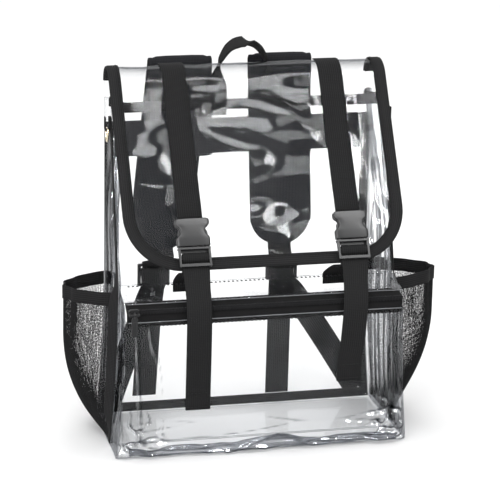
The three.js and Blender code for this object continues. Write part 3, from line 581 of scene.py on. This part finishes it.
def pocket_front_point(u, v):
    edge_y, top = POCKET_FRONT_EDGE
    rise = v * (top + FOLD * (QUARTER - 1))
    turn = rise / FOLD
    if turn < QUARTER:
        inset, z = FOLD * (1 - math.sin(turn)), FOLD * (1 - math.cos(turn)) + 0.6
    else:
        inset, z = 0.0, FOLD + (rise - FOLD * QUARTER) + 0.6
    share = min(1.0, z / top)
    bulge = 3 * math.sin(math.pi * u) * math.sin(math.pi * share)
    half = body_half(z) - 0.6
    run = min(u, 1 - u) * 2 * (half + CORNER * (QUARTER - 1))
    turn = min(run / CORNER, QUARTER)
    x = half - CORNER * (1 - math.cos(turn)) - max(0.0, run - CORNER * QUARTER)
    back = CORNER * (1 - math.sin(turn))
    y = mix(POCKET_FRONT, edge_y, share) - bulge + inset + back
    return (math.copysign(x, u - 0.5), y, z)


def pocket_front_relief(u, v):
    x, _, z = pocket_front_point(u, v)
    hold = min(1.0, 10 * u * (1 - u) + 0.25) * ramp(v, 0, 0.12) * (1 - ramp(v, 0.93, 1))
    return hold * (1.5 * ripple(x, z, 85, 2.2) + 0.5 * ripple(x, z, 30, 4.4) - crumple(x, z, 6.1))


def pocket():
    width = 2 * HALF
    piece = grid("pocket_front_sheet", pocket_front_point, 190, 100, (width, 146), CLEAR, pocket_front_relief)
    use(piece, "clear_pvc", "pocket_front")

    def lid(u, v):
        z = mix(SEAM, POCKET_TOP_EDGE[1], v) - 1.5 * math.sin(math.pi * v)
        return (mix(-1, 1, u) * body_half(z), mix(POCKET_BACK, POCKET_TOP_EDGE[0], v), z)

    def lid_relief(u, v):
        x = mix(-HALF, HALF, u)
        hold = math.sin(math.pi * v) * min(1.0, 10 * u * (1 - u) + 0.2)
        edge = 1 - ramp(HALF - abs(x), 2, 50)
        return hold * (1.2 * ripple(x, v * 40, 40, 3.3) + 4 * edge * ridge(x, v * 50, 22, 9.1, 4))

    for name, share, half in (("pocket_seam_stitches", 0.1, 1.3), ("zip_upper_stitches", 0.93, STITCH_HALF)):
        line = [Vector(lid(u, share)) + Vector((0, 0, 0.7)) for u in spread(0.03, 0.97, 60)]
        stitching(name, [(at, (0, 0, 1)) for at in line], half=half)
    line = [((x, POCKET_FRONT_EDGE[0] - 0.6, 136.5), (0, -1, 0)) for x in range(-136, 137, 4)]
    stitching("zip_lower_stitches", line)
    piece = grid("pocket_top_sheet", lid, 110, 16, (width, 41), CLEAR_LID, lid_relief)
    use(piece, "clear_pvc", "pocket_top")

    def base(u, v):
        return (mix(-1, 1, u) * body_half(0), mix(POCKET_FRONT + FOLD, POCKET_BACK, v), SHEET_IN)

    piece = grid("pocket_bottom_sheet", base, 40, 10, (2 * body_half(0), POCKET_DEPTH), CLEAR_TAUT)
    use(piece, "clear_pvc", "pocket_bottom")

    def hem(u, v):
        x = mix(-1, 1, u) * (HALF - 4)
        low = 3.8 + 1.6 * ripple(x, 3, 30, 1.9)
        top = 12 + 3 * ripple(x, 0, 45, 2.9) + 7 * max(0.0, 1 - abs(x - 12) / 40)
        return (x, POCKET_FRONT + 2.5 + 4 * ripple(x, v * 10, 40, 6.6) * v, mix(low, top, v))

    def hem_relief(u, v):
        x = mix(-HALF, HALF, u)
        return 5 * ridge(x * 0.2, v * 14, 12, 3.1, 3) + 2 * ripple(x, v * 12, 14, 5.9)

    # A real doubled strip of sheet at the pocket's foot, greyed with painted shade along the lower fold
    piece = grid("pocket_front_hem", hem, 140, 8, (2 * HALF - 8, 10), CLEAR_DOUBLE_SHADED, hem_relief)

    foot, bend, at_zip, seam = POCKET_SIDE_EDGE
    for side, sign in SIDES.items():
        def gusset(u, v):
            z = mix(foot[1], seam[1], v)
            reach = foot[0] + FOLD * (1 - math.sin(min(1.0, z / FOLD) * QUARTER))
            for low, high in ((bend, at_zip), (at_zip, seam)):
                if z > low[1]:
                    reach = mix(low[0], high[0], ramp(z, low[1], high[1]))
            return (sign * (body_half(z) - SHEET_IN), mix(reach, -DEPTH - 0.6, u), z)

        def gusset_relief(u, v):
            hold = min(1.0, 8 * u * (1 - u)) * min(1.0, 8 * v * (1 - v))
            folds = 1.5 * ridge(u * 70, v * 60, 24, 4 + sign)
            return hold * (2 * ripple(u * 48, v * 160, 34, 7 + sign) + folds)

        piece = grid(f"pocket_side_{side}_sheet", gusset, 18, 60, (48, 162), CLEAR_SIDE, gusset_relief)
        use(piece, "clear_pvc", f"pocket_side_{side}")


compartment()
rim_tapes()
seam_tapes()
pocket()


# Flap: up the back, over in an arc, and down the front at a slant
BEND_Y, BEND_Z = FLAP_BACK - FLAP_BEND, FLAP_TOP - FLAP_BEND
OUT = Vector((0, -math.cos(FLAP_SLANT), math.sin(FLAP_SLANT)))
DOWN = Vector((0, -math.sin(FLAP_SLANT), -math.cos(FLAP_SLANT)))
SLANT_START = Vector((0, BEND_Y, BEND_Z)) + OUT * FLAP_BEND
BEND_LENGTH = FLAP_BEND * (math.pi - FLAP_SLANT)
BACK_LENGTH = BEND_Z - FLAP_START
FLAP_RUN = BACK_LENGTH + BEND_LENGTH + FLAP_LENGTH


def on_slant(distance, height=0.0, x=0.0):
    return SLANT_START + DOWN * distance + OUT * height + Vector((x, 0, 0))


def flap_run(distance):
    """The flap's middle line, at a distance from its sewn end, and the way out of it there."""
    if distance < BACK_LENGTH:
        return Vector((0, FLAP_BACK, FLAP_START + distance)), Vector((0, 1, 0))
    angle = (distance - BACK_LENGTH) / FLAP_BEND
    if angle < math.pi - FLAP_SLANT:
        out = Vector((0, math.cos(angle), math.sin(angle)))
        return Vector((0, BEND_Y, BEND_Z)) + out * FLAP_BEND, out
    return on_slant(distance - BACK_LENGTH - BEND_LENGTH), OUT


def flap_half(distance):
    into = distance - (FLAP_RUN - FLAP_CORNER)
    if into <= 0:
        return FLAP_HALF
    return FLAP_HALF - FLAP_CORNER + math.sqrt(max(0.0, FLAP_CORNER ** 2 - into ** 2))


def flap_relief(u, v):
    x, run = mix(-FLAP_HALF, FLAP_HALF, u), v * FLAP_RUN
    edge = min(1.0, 9 * u * (1 - u)) * (1 - ramp(v, 0.94, 1)) * ramp(v, 0.1, 0.2)
    across = 2.0 * ripple(x * 0.5, run, 34, 1.1)
    broad = 2.0 * ripple(x, run * 0.8, 62, 5.3)
    fine = 0.35 * ripple(x, run, 17, 3.7)
    folds = 0.9 * ridge(x * 0.35, run, 46, 7.7, 4)
    beside = min(abs(x - spec["x"]) for spec in FLAP_STRAPS.values())
    return edge * ramp(beside, 12, 26) * (across + broad + fine + folds)


def flap():
    def point(u, v):
        at, _ = flap_run(v * FLAP_RUN)
        return at + Vector((mix(-1, 1, u) * flap_half(v * FLAP_RUN), 0, 0))

    size = (2 * FLAP_HALF, FLAP_RUN)
    piece = grid("flap_sheet", point, 120, 130, size, CLEAR_SIDE, flap_relief, flap_place)
    use(piece, "clear_pvc", "flap")

    tape_start, straight_end = BACK_LENGTH + BEND_LENGTH * 0.1, FLAP_RUN - FLAP_CORNER
    left = []
    for run in spread(tape_start, straight_end, 60):
        at, out = flap_run(run)
        left.append((at - Vector((FLAP_HALF, 0, 0)), Vector((1, 0, 0)), out))
    for angle in spread(0, QUARTER, 24)[1:]:
        at, out = flap_run(straight_end + FLAP_CORNER * math.sin(angle))
        half = FLAP_HALF - FLAP_CORNER * (1 - math.cos(angle))
        inward = Vector((math.cos(angle), 0, 0)) - DOWN * math.sin(angle)
        left.append((at - Vector((half, 0, 0)), inward, out))
    straight = FLAP_HALF - FLAP_CORNER
    middle = [(on_slant(FLAP_LENGTH, 0, x), -DOWN, OUT) for x in spread(-straight, straight, 30)[1:-1]]
    right = [(at * MIRROR, inward * MIRROR, out) for at, inward, out in reversed(left)]
    edge, downs, acrosses = zip(*(left + middle + right))
    tape = channel("flap_tape", edge, downs, acrosses, BINDING, FLAP_GAP, FLAP_TAPE, EDGE, flap_place)
    use(tape, "seam_tape", "flap_binding")
    line = [(at + inward * 9 + out * 1.75, out) for at, inward, out in left + middle + right]
    stitching("flap_tape_stitches", line, flap_place)


def flap_straps():
    half = (STRAP_WIDTH / 2, 0, 0)
    start, end = BACK_LENGTH + BEND_LENGTH / 2, BACK_LENGTH + BEND_LENGTH + 118
    for side, spec in FLAP_STRAPS.items():
        stations = []
        for run in spread(start, end, 24):
            at, out = flap_run(run)
            stations.append((at + out * 1.55 + Vector((spec["x"], 0, 0)), half, WEBBING))
        for distance in (126, 132, 143.7):
            stations.append((on_slant(distance, 2.4, spec["x"]), half, 3.2))
        strap = band(f"flap_strap_{side}_webbing", stations, WEB, flap_place, rounded=False)
        use(strap, "webbing", f"flap_strap_{side}")


# Lower strap in the plug: distance down the buckle, and height. Its tail: share of the way aside, y, z
PLUG_ROUTE = [(54.2, -5.5), (52.4, -3), (50.8, -0.6), (46.5, 0.9), (41, 1.1), (37.6, 1.2), (35.2, 2.6),
              (34.9, 4.6), (36.2, 6.5), (38.8, 6.9), (41.6, 6), (43.4, 3.6), (46.5, 2.9), (50, 3.2),
              (53, 4.2)]
TAIL_ROUTE = [(0.15, -143, 171), (0.3, -152.5, 155), (0.45, -156, 138), (0.75, -156.5, 104)]
HEM, HEM_THICK, PLUG_Z = 20, 2.7, 186


def lower_straps():
    """From inside the pocket seam up behind the plug, over its middle bar, behind its lower bar, and down."""
    for side, spec in FLAP_STRAPS.items():
        seam_x = spec["x"] + FLAP_SKEW * (FLAP_TOP - SEAM) + spec["seam_aside"]
        top_x = spec["x"] + FLAP_SKEW * (FLAP_TOP - PLUG_Z)
        tail_x, end = spec["tail_x"], spec["tail_end"]
        rows = [(seam_x, -101.8, 157), (seam_x, -101.8, 164), (seam_x, -103.5, 169.5)]
        rows.append((mix(seam_x, top_x, 0.5), -117, 179.5))
        for down, out in PLUG_ROUTE:
            at = on_slant(BUCKLE_DOWN + down, BUCKLE_LIFT + out)
            rows.append((top_x, at.y, at.z, 27))
        rows += [(mix(top_x, tail_x, share), y, z) for share, y, z in TAIL_ROUTE]
        hem = end + HEM
        rows.append((tail_x, -156, hem + 1))
        rows += [(tail_x, y, z, STRAP_WIDTH, HEM_THICK) for y, z in ((-156, hem - 1), (-155.5, end))]
        for name, z in (("top", hem - 3), ("end", end + 3)):
            line = [((tail_x + x, -157.6, z), (0, -1, 0)) for x in (-11, 11)]
            stitching(f"hem_{name}_stitches_{side}", line)
        strap = band(f"lower_strap_{side}_webbing", along_x(rows), WEB, step=1.6)
        use(strap, "webbing", f"lower_strap_{side}")


# Net side pockets
NET_FRONT, NET_REAR, NET_TOP, NET_BAND_TOP, NET_FLOOR = -92, -5, 143, 157, 5
NET_REACH = {"left": 46, "right": 56}
NET_THREAD, NET_UNEVEN, NET_PLEATS, NET_SEED = 0.76, 0.0055, 5, 7
# The net's unevenness is the same in every run
noise.seed_set(NET_SEED)


def net_point(side, s, z, extra=0.0):
    """A point of the net, which bulges from the side panel and is pleated below its band."""
    sign = SIDES[side]
    full = math.sin(math.pi / 2 * min(1.0, max(0.0, (z - NET_FLOOR) / 105) ** 0.8))
    arch = math.sin(math.pi * s) ** 0.75 if 0 < s < 1 else 0.0
    pleat = 1.6 * math.sin(2 * math.pi * NET_PLEATS * s) * smooth(ramp(z, 70, NET_TOP))
    x = body_half(z) + 0.6 + (NET_REACH[side] * full + pleat) * arch + extra * (0.35 + 0.65 * arch)
    return (sign * x, mix(NET_FRONT - extra, NET_REAR + extra, s), z)


def net_pockets():
    for side in SIDES:
        def knot(u, v):
            uneven = noise.noise_vector(Vector((u * 310, v * 290, SIDES[side]))) * NET_UNEVEN
            s = min(1.0, max(0.0, u + uneven.x))
            return net_point(side, s, mix(NET_FLOOR, NET_TOP, min(1.0, max(0.0, v + uneven.y))), 0.6)

        piece = grid(f"mesh_pocket_{side}_net", knot, 104, 92, (150, 138), NET, thick=0)
        threads = piece.modifiers.new("threads", "WIREFRAME")
        threads.thickness = NET_THREAD * MM
        threads.use_even_offset = False
        use(piece, "net", f"mesh_pocket_{side}")
        stations = []
        for s in spread(0, 1, 80):
            at = Vector(net_point(side, s, (NET_TOP + NET_BAND_TOP) / 2, 1.2))
            stations.append((at, (0, 0, (NET_BAND_TOP - NET_TOP) / 2), 1.6))
        use(band(f"mesh_band_{side}_tape", stations, WEB, rounded=False), "webbing", f"mesh_band_{side}")


flap()
flap_straps()
lower_straps()
net_pockets()


# Hard pieces
def moulding(name, prisms, where, material, bevel=0.5, body="bag"):
    """Outlines of points (x, down), each pushed out between two heights, in one piece with rounded edges."""
    verts, faces = [], []
    for outline, low, high in prisms:
        first = len(verts)
        verts += [where((a, low, b)) for a, b in outline]
        verts += [where((a, high, b)) for a, b in outline]
        faces += [tuple(first + k for k in face) for face in skin(len(outline), 2)]
    piece = finish_mesh(name, verts, faces, None, material, body)
    edges = piece.modifiers.new("rounded edges", "BEVEL")
    edges.width = bevel * MM
    edges.segments = 3
    edges.limit_method = "ANGLE"
    edges.harden_normals = True
    return piece


def rectangle(x0, x1, down0, down1):
    return [(x0, down0), (x1, down0), (x1, down1), (x0, down1)]


def mirrored(rows):
    return rows + [(-x, down) for x, down in reversed(rows)]


def tube(name, path, radius, where, material, body="bag", closed=True):
    """Round wire along points."""
    sides, verts = 10, []
    points = [Vector(p) for p in path]
    count = len(points)
    for i, at in enumerate(points):
        if closed:
            ahead = points[(i + 1) % count] - points[i - 1]
        else:
            ahead = points[min(i + 1, count - 1)] - points[max(i - 1, 0)]
        aside = (1, 0, 0) if abs(ahead.normalized().x) < 0.9 else (0, 1, 0)
        side = ahead.cross(Vector(aside)).normalized()
        other = ahead.cross(side).normalized()
        for k in range(sides):
            angle = 2 * math.pi * k / sides
            verts.append(where(at + (side * math.cos(angle) + other * math.sin(angle)) * radius))
    return finish_mesh(name, verts, skin(sides, count, closed), None, material, body)


# Rows of the socket's outline: half width and distance down the strap
SOCKET_ROWS = [(14.6, 0), (16.4, 0.8), (17, 2.4), (17, 5), (16, 7.2), (13.8, 8.8), (12.7, 10.6), (12.4, 12.4),
               (12.8, 14.4), (14.2, 16.6), (15.8, 18.2), (16.5, 20), (16.5, 24), (16.4, 27.4)]
DOME_SECTION = [(-1, -0.4), (-1, 0.3), (-0.95, 0.7), (-0.85, 0.92), (-0.5, 1.08), (0, 1.16)]
DOME_SECTION += [(-a, b) for a, b in reversed(DOME_SECTION[:-1])]
DOME_SECTION += [(0.6, -1), (-0.6, -1)]


def buckles():
    """Sockets and plugs, from outlines of x and distance down, pushed out between two heights."""
    core = rectangle(-11, 11, 6, 27)
    bar = mirrored([(14.4, 0.8), (16.2, 2.6), (16.2, 5), (12, 8.2)])
    head = mirrored([(16.3, 28.6), (16.3, 30.4), (16, 30.8)])
    plug = [(head, 0.8, 7.2), (rectangle(-14.5, 14.5, 30, 33.6), 0.9, 2)]
    for sign in (-1, 1):
        plug.append((rectangle(sign * 13.8, sign * 16, 29.5, 48), 2.6, 7))
        plug.append(([(sign * 11.7, 28.6), (sign * 11.7, 12), (sign * 13, 10.5), (sign * 14.6, 13.5),
                      (sign * 14.9, 19), (sign * 13.6, 28.6)], 2.5, 6))
    plug.append((rectangle(-14.5, 14.5, 37, 40), 2.6, 5.4))
    plug.append((rectangle(-14.5, 14.5, 45, 48), 4.2, 7))
    for side, spec in FLAP_STRAPS.items():
        def where(p):
            return flap_place(on_slant(BUCKLE_DOWN + p[2], BUCKLE_LIFT + p[1], spec["x"] + p[0]))

        inside = moulding(f"buckle_{side}_core", [(core, 1, 7), (bar, 1, 7)], where, PLASTIC, 0.6)
        use(inside, "buckle_plastic")
        for name, height in (("lower", 1.3), ("upper", 7.6)):
            stations = []
            for half, down in SOCKET_ROWS:
                fall = 0.0045 * (down - 9) ** 2 if name == "upper" else 0.0
                stations.append(((0, height - fall, down), (-half, 0, 0), 2.6))
            shell = band(f"buckle_{side}_{name}_shell", stations, PLASTIC, where, 1.0, section=DOME_SECTION)
            use(shell, "buckle_plastic", f"buckle_socket_{side}")
        piece = moulding(f"buckle_{side}_plug", plug, where, PLASTIC, 0.6)
        use(piece, "buckle_plastic", f"buckle_plug_{side}")


# Zip of the pocket
ZIP_Y, ZIP_Z, SLIDER_X, SLIDER_LIFT, TOOTH = -147.2, 151, -132.5, 8.6, 1.5
EYE, EYE_WIRE = 2.2, 0.65
ZIP_HALF = body_half(ZIP_Z) - 1.6


def zip_pieces():
    tapes = {"upper": [(-131, 156.6), (-144.0, 149.8)], "lower": [(-147, 136), (-145.6, 150.4)]}
    for name, rows in tapes.items():
        stations = []
        for x in spread(-ZIP_HALF, ZIP_HALF, 48):
            low, high = Vector((x, *rows[0])), Vector((x, *rows[-1]))
            stations.append(((low + high) / 2, (high - low) / 2, 1))
        use(band(f"zip_{name}_tape", stations, ZIP, rounded=False), "zip", f"zip_tape_{name}")
    teeth = [(rectangle(-ZIP_HALF, ZIP_HALF, -1.9, 1.9), -0.9, 1.1)]
    for i in range(int(2 * ZIP_HALF / TOOTH)):
        x = -ZIP_HALF + (i + 0.5) * TOOTH
        low = -0.5 if i % 2 else -2.4
        teeth.append((rectangle(x - 0.55, x + 0.55, low, low + 2.9), -1.2, 1.6))

    def coil_place(p):
        return place((p[0], ZIP_Y - p[1], ZIP_Z - p[2]))

    use(moulding("zip_coil_teeth", teeth, coil_place, COIL, 0.25), "zip", "zip_coil")

    def slider_place(p):
        return place((SLIDER_X + p[0], ZIP_Y - 2.3 - p[1], ZIP_Z - p[2]))

    base = [(-5, -2.6), (-3.4, -4), (3.4, -4), (5, -2.6), (5, 2.6), (3.4, 4), (-3.4, 4), (-5, 2.6)]
    slider = [(base, 0, 3.5)]
    for sign in (-1, 1):
        slider.append((rectangle(sign * 3.4, sign * 5, -0.9, 0.9), 1.7, 9.5))
    slider.append((rectangle(-4.2, 4.2, -0.8, 0.8), 7.8, 9.4))
    use(moulding("zip_slider_body", slider, slider_place, PLASTIC, 0.35), "buckle_plastic", "zip_slider")

    def puller_place(p):
        return slider_place((p[0], p[1] + SLIDER_LIFT, p[2]))

    tab = [(-2, 2.2), (2, 2.2), (3, 4), (3, 20.5), (2.2, 22), (-2.2, 22), (-3, 20.5), (-3, 4)]
    rib = rectangle(-1.9, 1.9, 7, 19.5)
    prisms = [(tab, -0.8, 0.8), (rib, -1.1, 1.1)]
    puller = moulding("zip_puller_tab", prisms, puller_place, PLASTIC, 0.3, "puller")
    use(puller, "buckle_plastic", "zip_puller")
    circle = [(0, EYE * math.cos(a), EYE * math.sin(a)) for a in spread(0, 2 * math.pi, 20)[:-1]]
    use(tube("zip_puller_eye", circle, EYE_WIRE, puller_place, PLASTIC, "puller"), "buckle_plastic")


def pocket_edges():
    """Pale tubes along the cut edges of the clear sheet above and below the zip: a painted highlight of the
    light caught on each edge.
    """
    for name, (y, z) in (("pocket_top_edge_highlight", POCKET_TOP_EDGE), ("pocket_front_edge_highlight", POCKET_FRONT_EDGE)):
        reach = body_half(z) - 3
        points = []
        for i, x in enumerate(spread(-reach, reach, 60)):
            points.append((x, y - SHEET_THICK, z + 0.3 * ripple(i * 4, 0, 30, 8.3)))
        tube(name, points, SHEET_THICK / 2, place, PAINTED_EDGE_HIGHLIGHT, closed=False)


# Back of the bag
YOKE_LOW, YOKE_HIGH = 275, 312
PAD_WIDTH, PAD_THICK, PAD_END = 66, 6, 169
ADJUSTER_LOW, ADJUSTER_HIGH, ADJUSTER_INSIDE = 134, 158, 26.6
ADJUSTER_BARS, ADJUSTER_Y = (0, 11, 21), 11
SHOULDERS = {
    "left": {"fold_x": -60, "end_x": -76, "adjuster_x": -86, "tail_x": -95, "tail_end": 14},
    "right": {"fold_x": 45, "end_x": 51, "adjuster_x": 51, "tail_x": 49, "tail_end": 8},
}
# A pad's section, with a stitched edge: across and height
PAD_SECTION = [(-1, 0), (-0.985, 0.42), (-0.94, 0.5), (-0.885, 0.46), (-0.86, 0.42), (-0.74, 0.86),
               (-0.4, 1), (0, 1)]
PAD_SECTION += [(-a, b) for a, b in reversed(PAD_SECTION[:-1])]
PAD_SECTION += [(a, -b) for a, b in reversed(PAD_SECTION[1:-1])]


def yoke():
    half = body_half(YOKE_HIGH) - SEAM_TAPE - 0.6
    middle, tall = (YOKE_LOW + YOKE_HIGH) / 2, (YOKE_HIGH - YOKE_LOW) / 2
    stations = [((x, 1.05, middle), (0, 0, tall), 1.5) for x in spread(-half, half, 40)]
    use(band("yoke_cloth", stations, PADDED, rounded=False), "seam_tape", "yoke")


def shoulder_straps():
    near, rise, far, fold_r, fold_z = 5.1, 13.1, 22.1, 4.5, 367.5
    half = PAD_WIDTH / 2
    for side, spec in SHOULDERS.items():
        fold_x, end_x = spec["fold_x"], spec["end_x"]
        rows = [(fold_x, near, 272), (fold_x, near, 300), (fold_x, rise, 322), (fold_x, rise, 345)]
        for angle in spread(0, math.pi, 8):
            y = (far + rise) / 2 - fold_r * math.cos(angle)
            rows.append((fold_x, y, fold_z + fold_r * math.sin(angle)))
        rows += [(mix(fold_x, end_x, 0.6), far + 1, 270), (end_x, far, PAD_END + half)]
        for degrees in (15, 30, 45, 58, 70, 80):
            turn = math.radians(degrees)
            rows.append((end_x, far, PAD_END + half * (1 - math.sin(turn)), PAD_WIDTH * math.cos(turn)))
        pad = band(f"shoulder_strap_{side}_pad", along_x(rows, PAD_WIDTH, PAD_THICK), PADDED, step=3,
                   section=PAD_SECTION)
        use(pad, "padded_strap", f"shoulder_strap_{side}")
        rows = [(end_x, far + out, PAD_END + up) for out, up in ((3.3, 26), (3.2, 2), (-2, -9))]
        rows += [(spec["adjuster_x"], y, ADJUSTER_HIGH + up) for y, up in ((13, 1.6), (9.9, -0.4), (9.8, -4))]
        use(band(f"shoulder_webbing_{side}", along_x(rows), WEB, step=3), "webbing", f"shoulder_strap_{side}")


def adjusters():
    for side, spec in SHOULDERS.items():
        pieces = [(rectangle(edge, edge + 3.5, ADJUSTER_LOW, ADJUSTER_HIGH), 0, 3.4) for edge in (-17, 13.5)]
        for up in ADJUSTER_BARS:
            bar = rectangle(-15, 15, ADJUSTER_LOW + up, ADJUSTER_LOW + up + 3)
            pieces.append((bar, 0.2, 3.2))

        def where(p):
            return place((spec["adjuster_x"] + p[0], ADJUSTER_Y + p[1], p[2]))

        ladder = moulding(f"adjuster_{side}_ladder", pieces, where, PLASTIC, 0.6)
        use(ladder, "buckle_plastic", f"adjuster_{side}")


def anchor_webbing():
    """From the lower corners up through the adjusters, over the middle bar, and down as tails."""
    for side, spec in SHOULDERS.items():
        sign = SIDES[side]
        corner, adjuster_x, tail_x = sign * (body_half(0) - 14), spec["adjuster_x"], spec["tail_x"]
        low = ADJUSTER_LOW
        slope = math.degrees(math.atan2(abs(corner - adjuster_x), low - 8))
        rows = [(corner, 2.55, 10, slope), (mix(corner, adjuster_x, 0.45), 4.2, 70, slope),
                (mix(corner, adjuster_x, 0.85), 8, 120, slope * 0.7), (adjuster_x, 9.6, low + 3, 0),
                (adjuster_x, 9.7, low + 15.6, 0), (adjuster_x, 12.7, low + 18.8, 0),
                (adjuster_x, 15.7, low + 15.6, 0), (adjuster_x, 15.8, low, 0),
                (mix(adjuster_x, tail_x, 0.4), 14.5, low - 34, 0), (tail_x, 13, spec["tail_end"], 0)]
        stations = []
        for x, y, z, lean in rows:
            turn = math.radians(lean) * sign
            width = ADJUSTER_INSIDE if z > low else STRAP_WIDTH
            half = Vector((math.cos(turn), 0, math.sin(turn))) * width / 2
            stations.append(((x, y, z), half, WEBBING))
        strap = band(f"anchor_webbing_{side}_strap", stations, WEB, step=2.5)
        use(strap, "webbing", f"anchor_webbing_{side}")


def grab_handle():
    """One leg's rows of distance aside, y, z, width and turn, then the other leg's."""
    leg = [(27.5, 2.9, 314, 22, 0), (27.5, 2.9, 344, 22, 0), (27, 4.2, 353, 15, 6), (26, 4.4, 362, 9, 55),
           (23, 3, 372, 11, 100), (16, 3.5, 382.5, 16, 106), (8, 4, 387.4, 20, 110), (0, 4, 389, 21, 110)]
    rows = [(-out, y, z, width, turn) for out, y, z, width, turn in leg]
    rows += [(out, y, z, width, 180 - turn) for out, y, z, width, turn in reversed(leg[:-1])]
    stations = []
    for i, (x, y, z, width, turn) in enumerate(rows):
        before, after = rows[max(i - 1, 0)], rows[min(i + 1, len(rows) - 1)]
        along = unit(after[0] - before[0], 0, after[2] - before[2])
        angle = math.radians(turn)
        half = Vector((along.z, 0, -along.x)) * math.cos(angle) + Vector((0, math.sin(angle), 0))
        stations.append(((3.5 + x, y, z), half * width / 2, 2.6))
    use(band("grab_handle_webbing", stations, WEB, step=2.5), "webbing", "grab_handle")


# Rings at the sides, on tabs of folded tape
RING_Y, RING_TOP, RING_X, RING_WIRE = -49, 314, 144.4, 1.0
RING_HALF, RING_BULGE, RING_DROP, TAB_BEND, TAB_HALF = 6, 6.48, 11, 2.1, 4.5


def side_rings():
    path = [(along, 0) for along in spread(-RING_HALF, RING_HALF, 6)]
    for angle in spread(0, math.pi, 20)[1:-1]:
        path.append((RING_BULGE * math.cos(angle), -1.5 - RING_DROP * math.sin(angle)))
    loop = [(-TAB_BEND, 12), (-TAB_BEND, 4)]
    loop += [(-TAB_BEND * math.cos(angle), -TAB_BEND * math.sin(angle)) for angle in spread(0, math.pi, 8)]
    loop += [(TAB_BEND, 4), (TAB_BEND, 12)]
    for side, sign in SIDES.items():
        points = [(sign * RING_X, RING_Y + along, RING_TOP + fall) for along, fall in path]
        ring = tube(f"side_ring_{side}_wire", points, RING_WIRE, place, BRASS)
        use(ring, "brass_ring", f"side_ring_{side}")
        stations = [((sign * (RING_X + out), RING_Y, RING_TOP + up), (0, TAB_HALF, 0), 1) for out, up in loop]
        use(band(f"ring_tab_{side}_tape", stations, EDGE, step=1.5), "webbing", f"ring_tab_{side}")


buckles()
zip_pieces()
pocket_edges()
yoke()
shoulder_straps()
adjusters()
anchor_webbing()
grab_handle()
side_rings()


# Camera, lights and floor
TARGET = Vector((-6.44, -7.6, 189)) * MM
AZIMUTH, ELEVATION, DISTANCE = math.radians(-12), math.radians(14), 2.1
SENSOR, LENS = 36, 149.8
WORLD_LIGHT, FLOOR_TONE, FLOOR = 1.06, 0.95, 6


def towards(azimuth, elevation):
    level = math.cos(elevation)
    return Vector((math.sin(azimuth) * level, -math.cos(azimuth) * level, math.sin(elevation)))


def aim(piece, at, target):
    piece.location = at
    piece.rotation_euler = (target - at).to_track_quat("-Z", "Y").to_euler()


def camera():
    data = bpy.data.cameras.new("camera")
    data.sensor_width = SENSOR
    data.lens = LENS
    piece = add_object("camera", data)
    aim(piece, TARGET + towards(AZIMUTH, ELEVATION) * DISTANCE, TARGET)
    bpy.context.scene.camera = piece


def softbox(name, azimuth, elevation, distance, size, power, only_gloss=False):
    data = bpy.data.lights.new(name, "AREA")
    data.shape = "RECTANGLE"
    data.size, data.size_y = size
    data.energy = power
    piece = add_object(name, data)
    piece.visible_diffuse = not only_gloss
    aim(piece, TARGET + towards(math.radians(azimuth), math.radians(elevation)) * distance, TARGET)


def surroundings():
    world = bpy.data.worlds.new("white room")
    world.use_nodes = True
    background = world.node_tree.nodes["Background"]
    background.inputs["Color"].default_value = (1, 1, 1, 1)
    background.inputs["Strength"].default_value = WORLD_LIGHT
    scene.world = world
    mesh = bpy.data.meshes.new("floor")
    corners = [(x * FLOOR, y * FLOOR, 0) for x, y in ((-1, -1), (1, -1), (1, 1), (-1, 1))]
    mesh.from_pydata(corners, [], [(0, 1, 2, 3)])
    material, _, shader = new_material("floor", "ShaderNodeBsdfDiffuse")
    shader.inputs["Color"].default_value = (FLOOR_TONE, FLOOR_TONE, FLOOR_TONE, 1)
    mesh.materials.append(material)
    add_object("floor", mesh)


camera()
surroundings()
# Azimuth, elevation, distance, size and power of each light
softbox("key", -25, 48, 1.8, (0.7, 0.5), 7)
softbox("overhead", 0, 80, 2.4, (1.8, 1.8), 6)
softbox("back", 170, 50, 2.0, (1.0, 0.6), 4)
softbox("grey panel", 14, 54, 1.6, (1.0, 0.32), 25, True)
softbox("lower grey panel", 22, 42, 1.6, (0.34, 0.16), 1.9, True)
softbox("bright strip", 30, 33, 1.6, (0.1, 0.7), 13, True)
softbox("low strip", -30, 16, 1.6, (0.1, 0.8), 22, True)
softbox("side strip", -75, 20, 1.6, (0.16, 0.8), 22, True)
scene.view_settings.view_transform = "Standard"
scene.cycles.transparent_max_bounces = 32
scene.cycles.max_bounces = 10
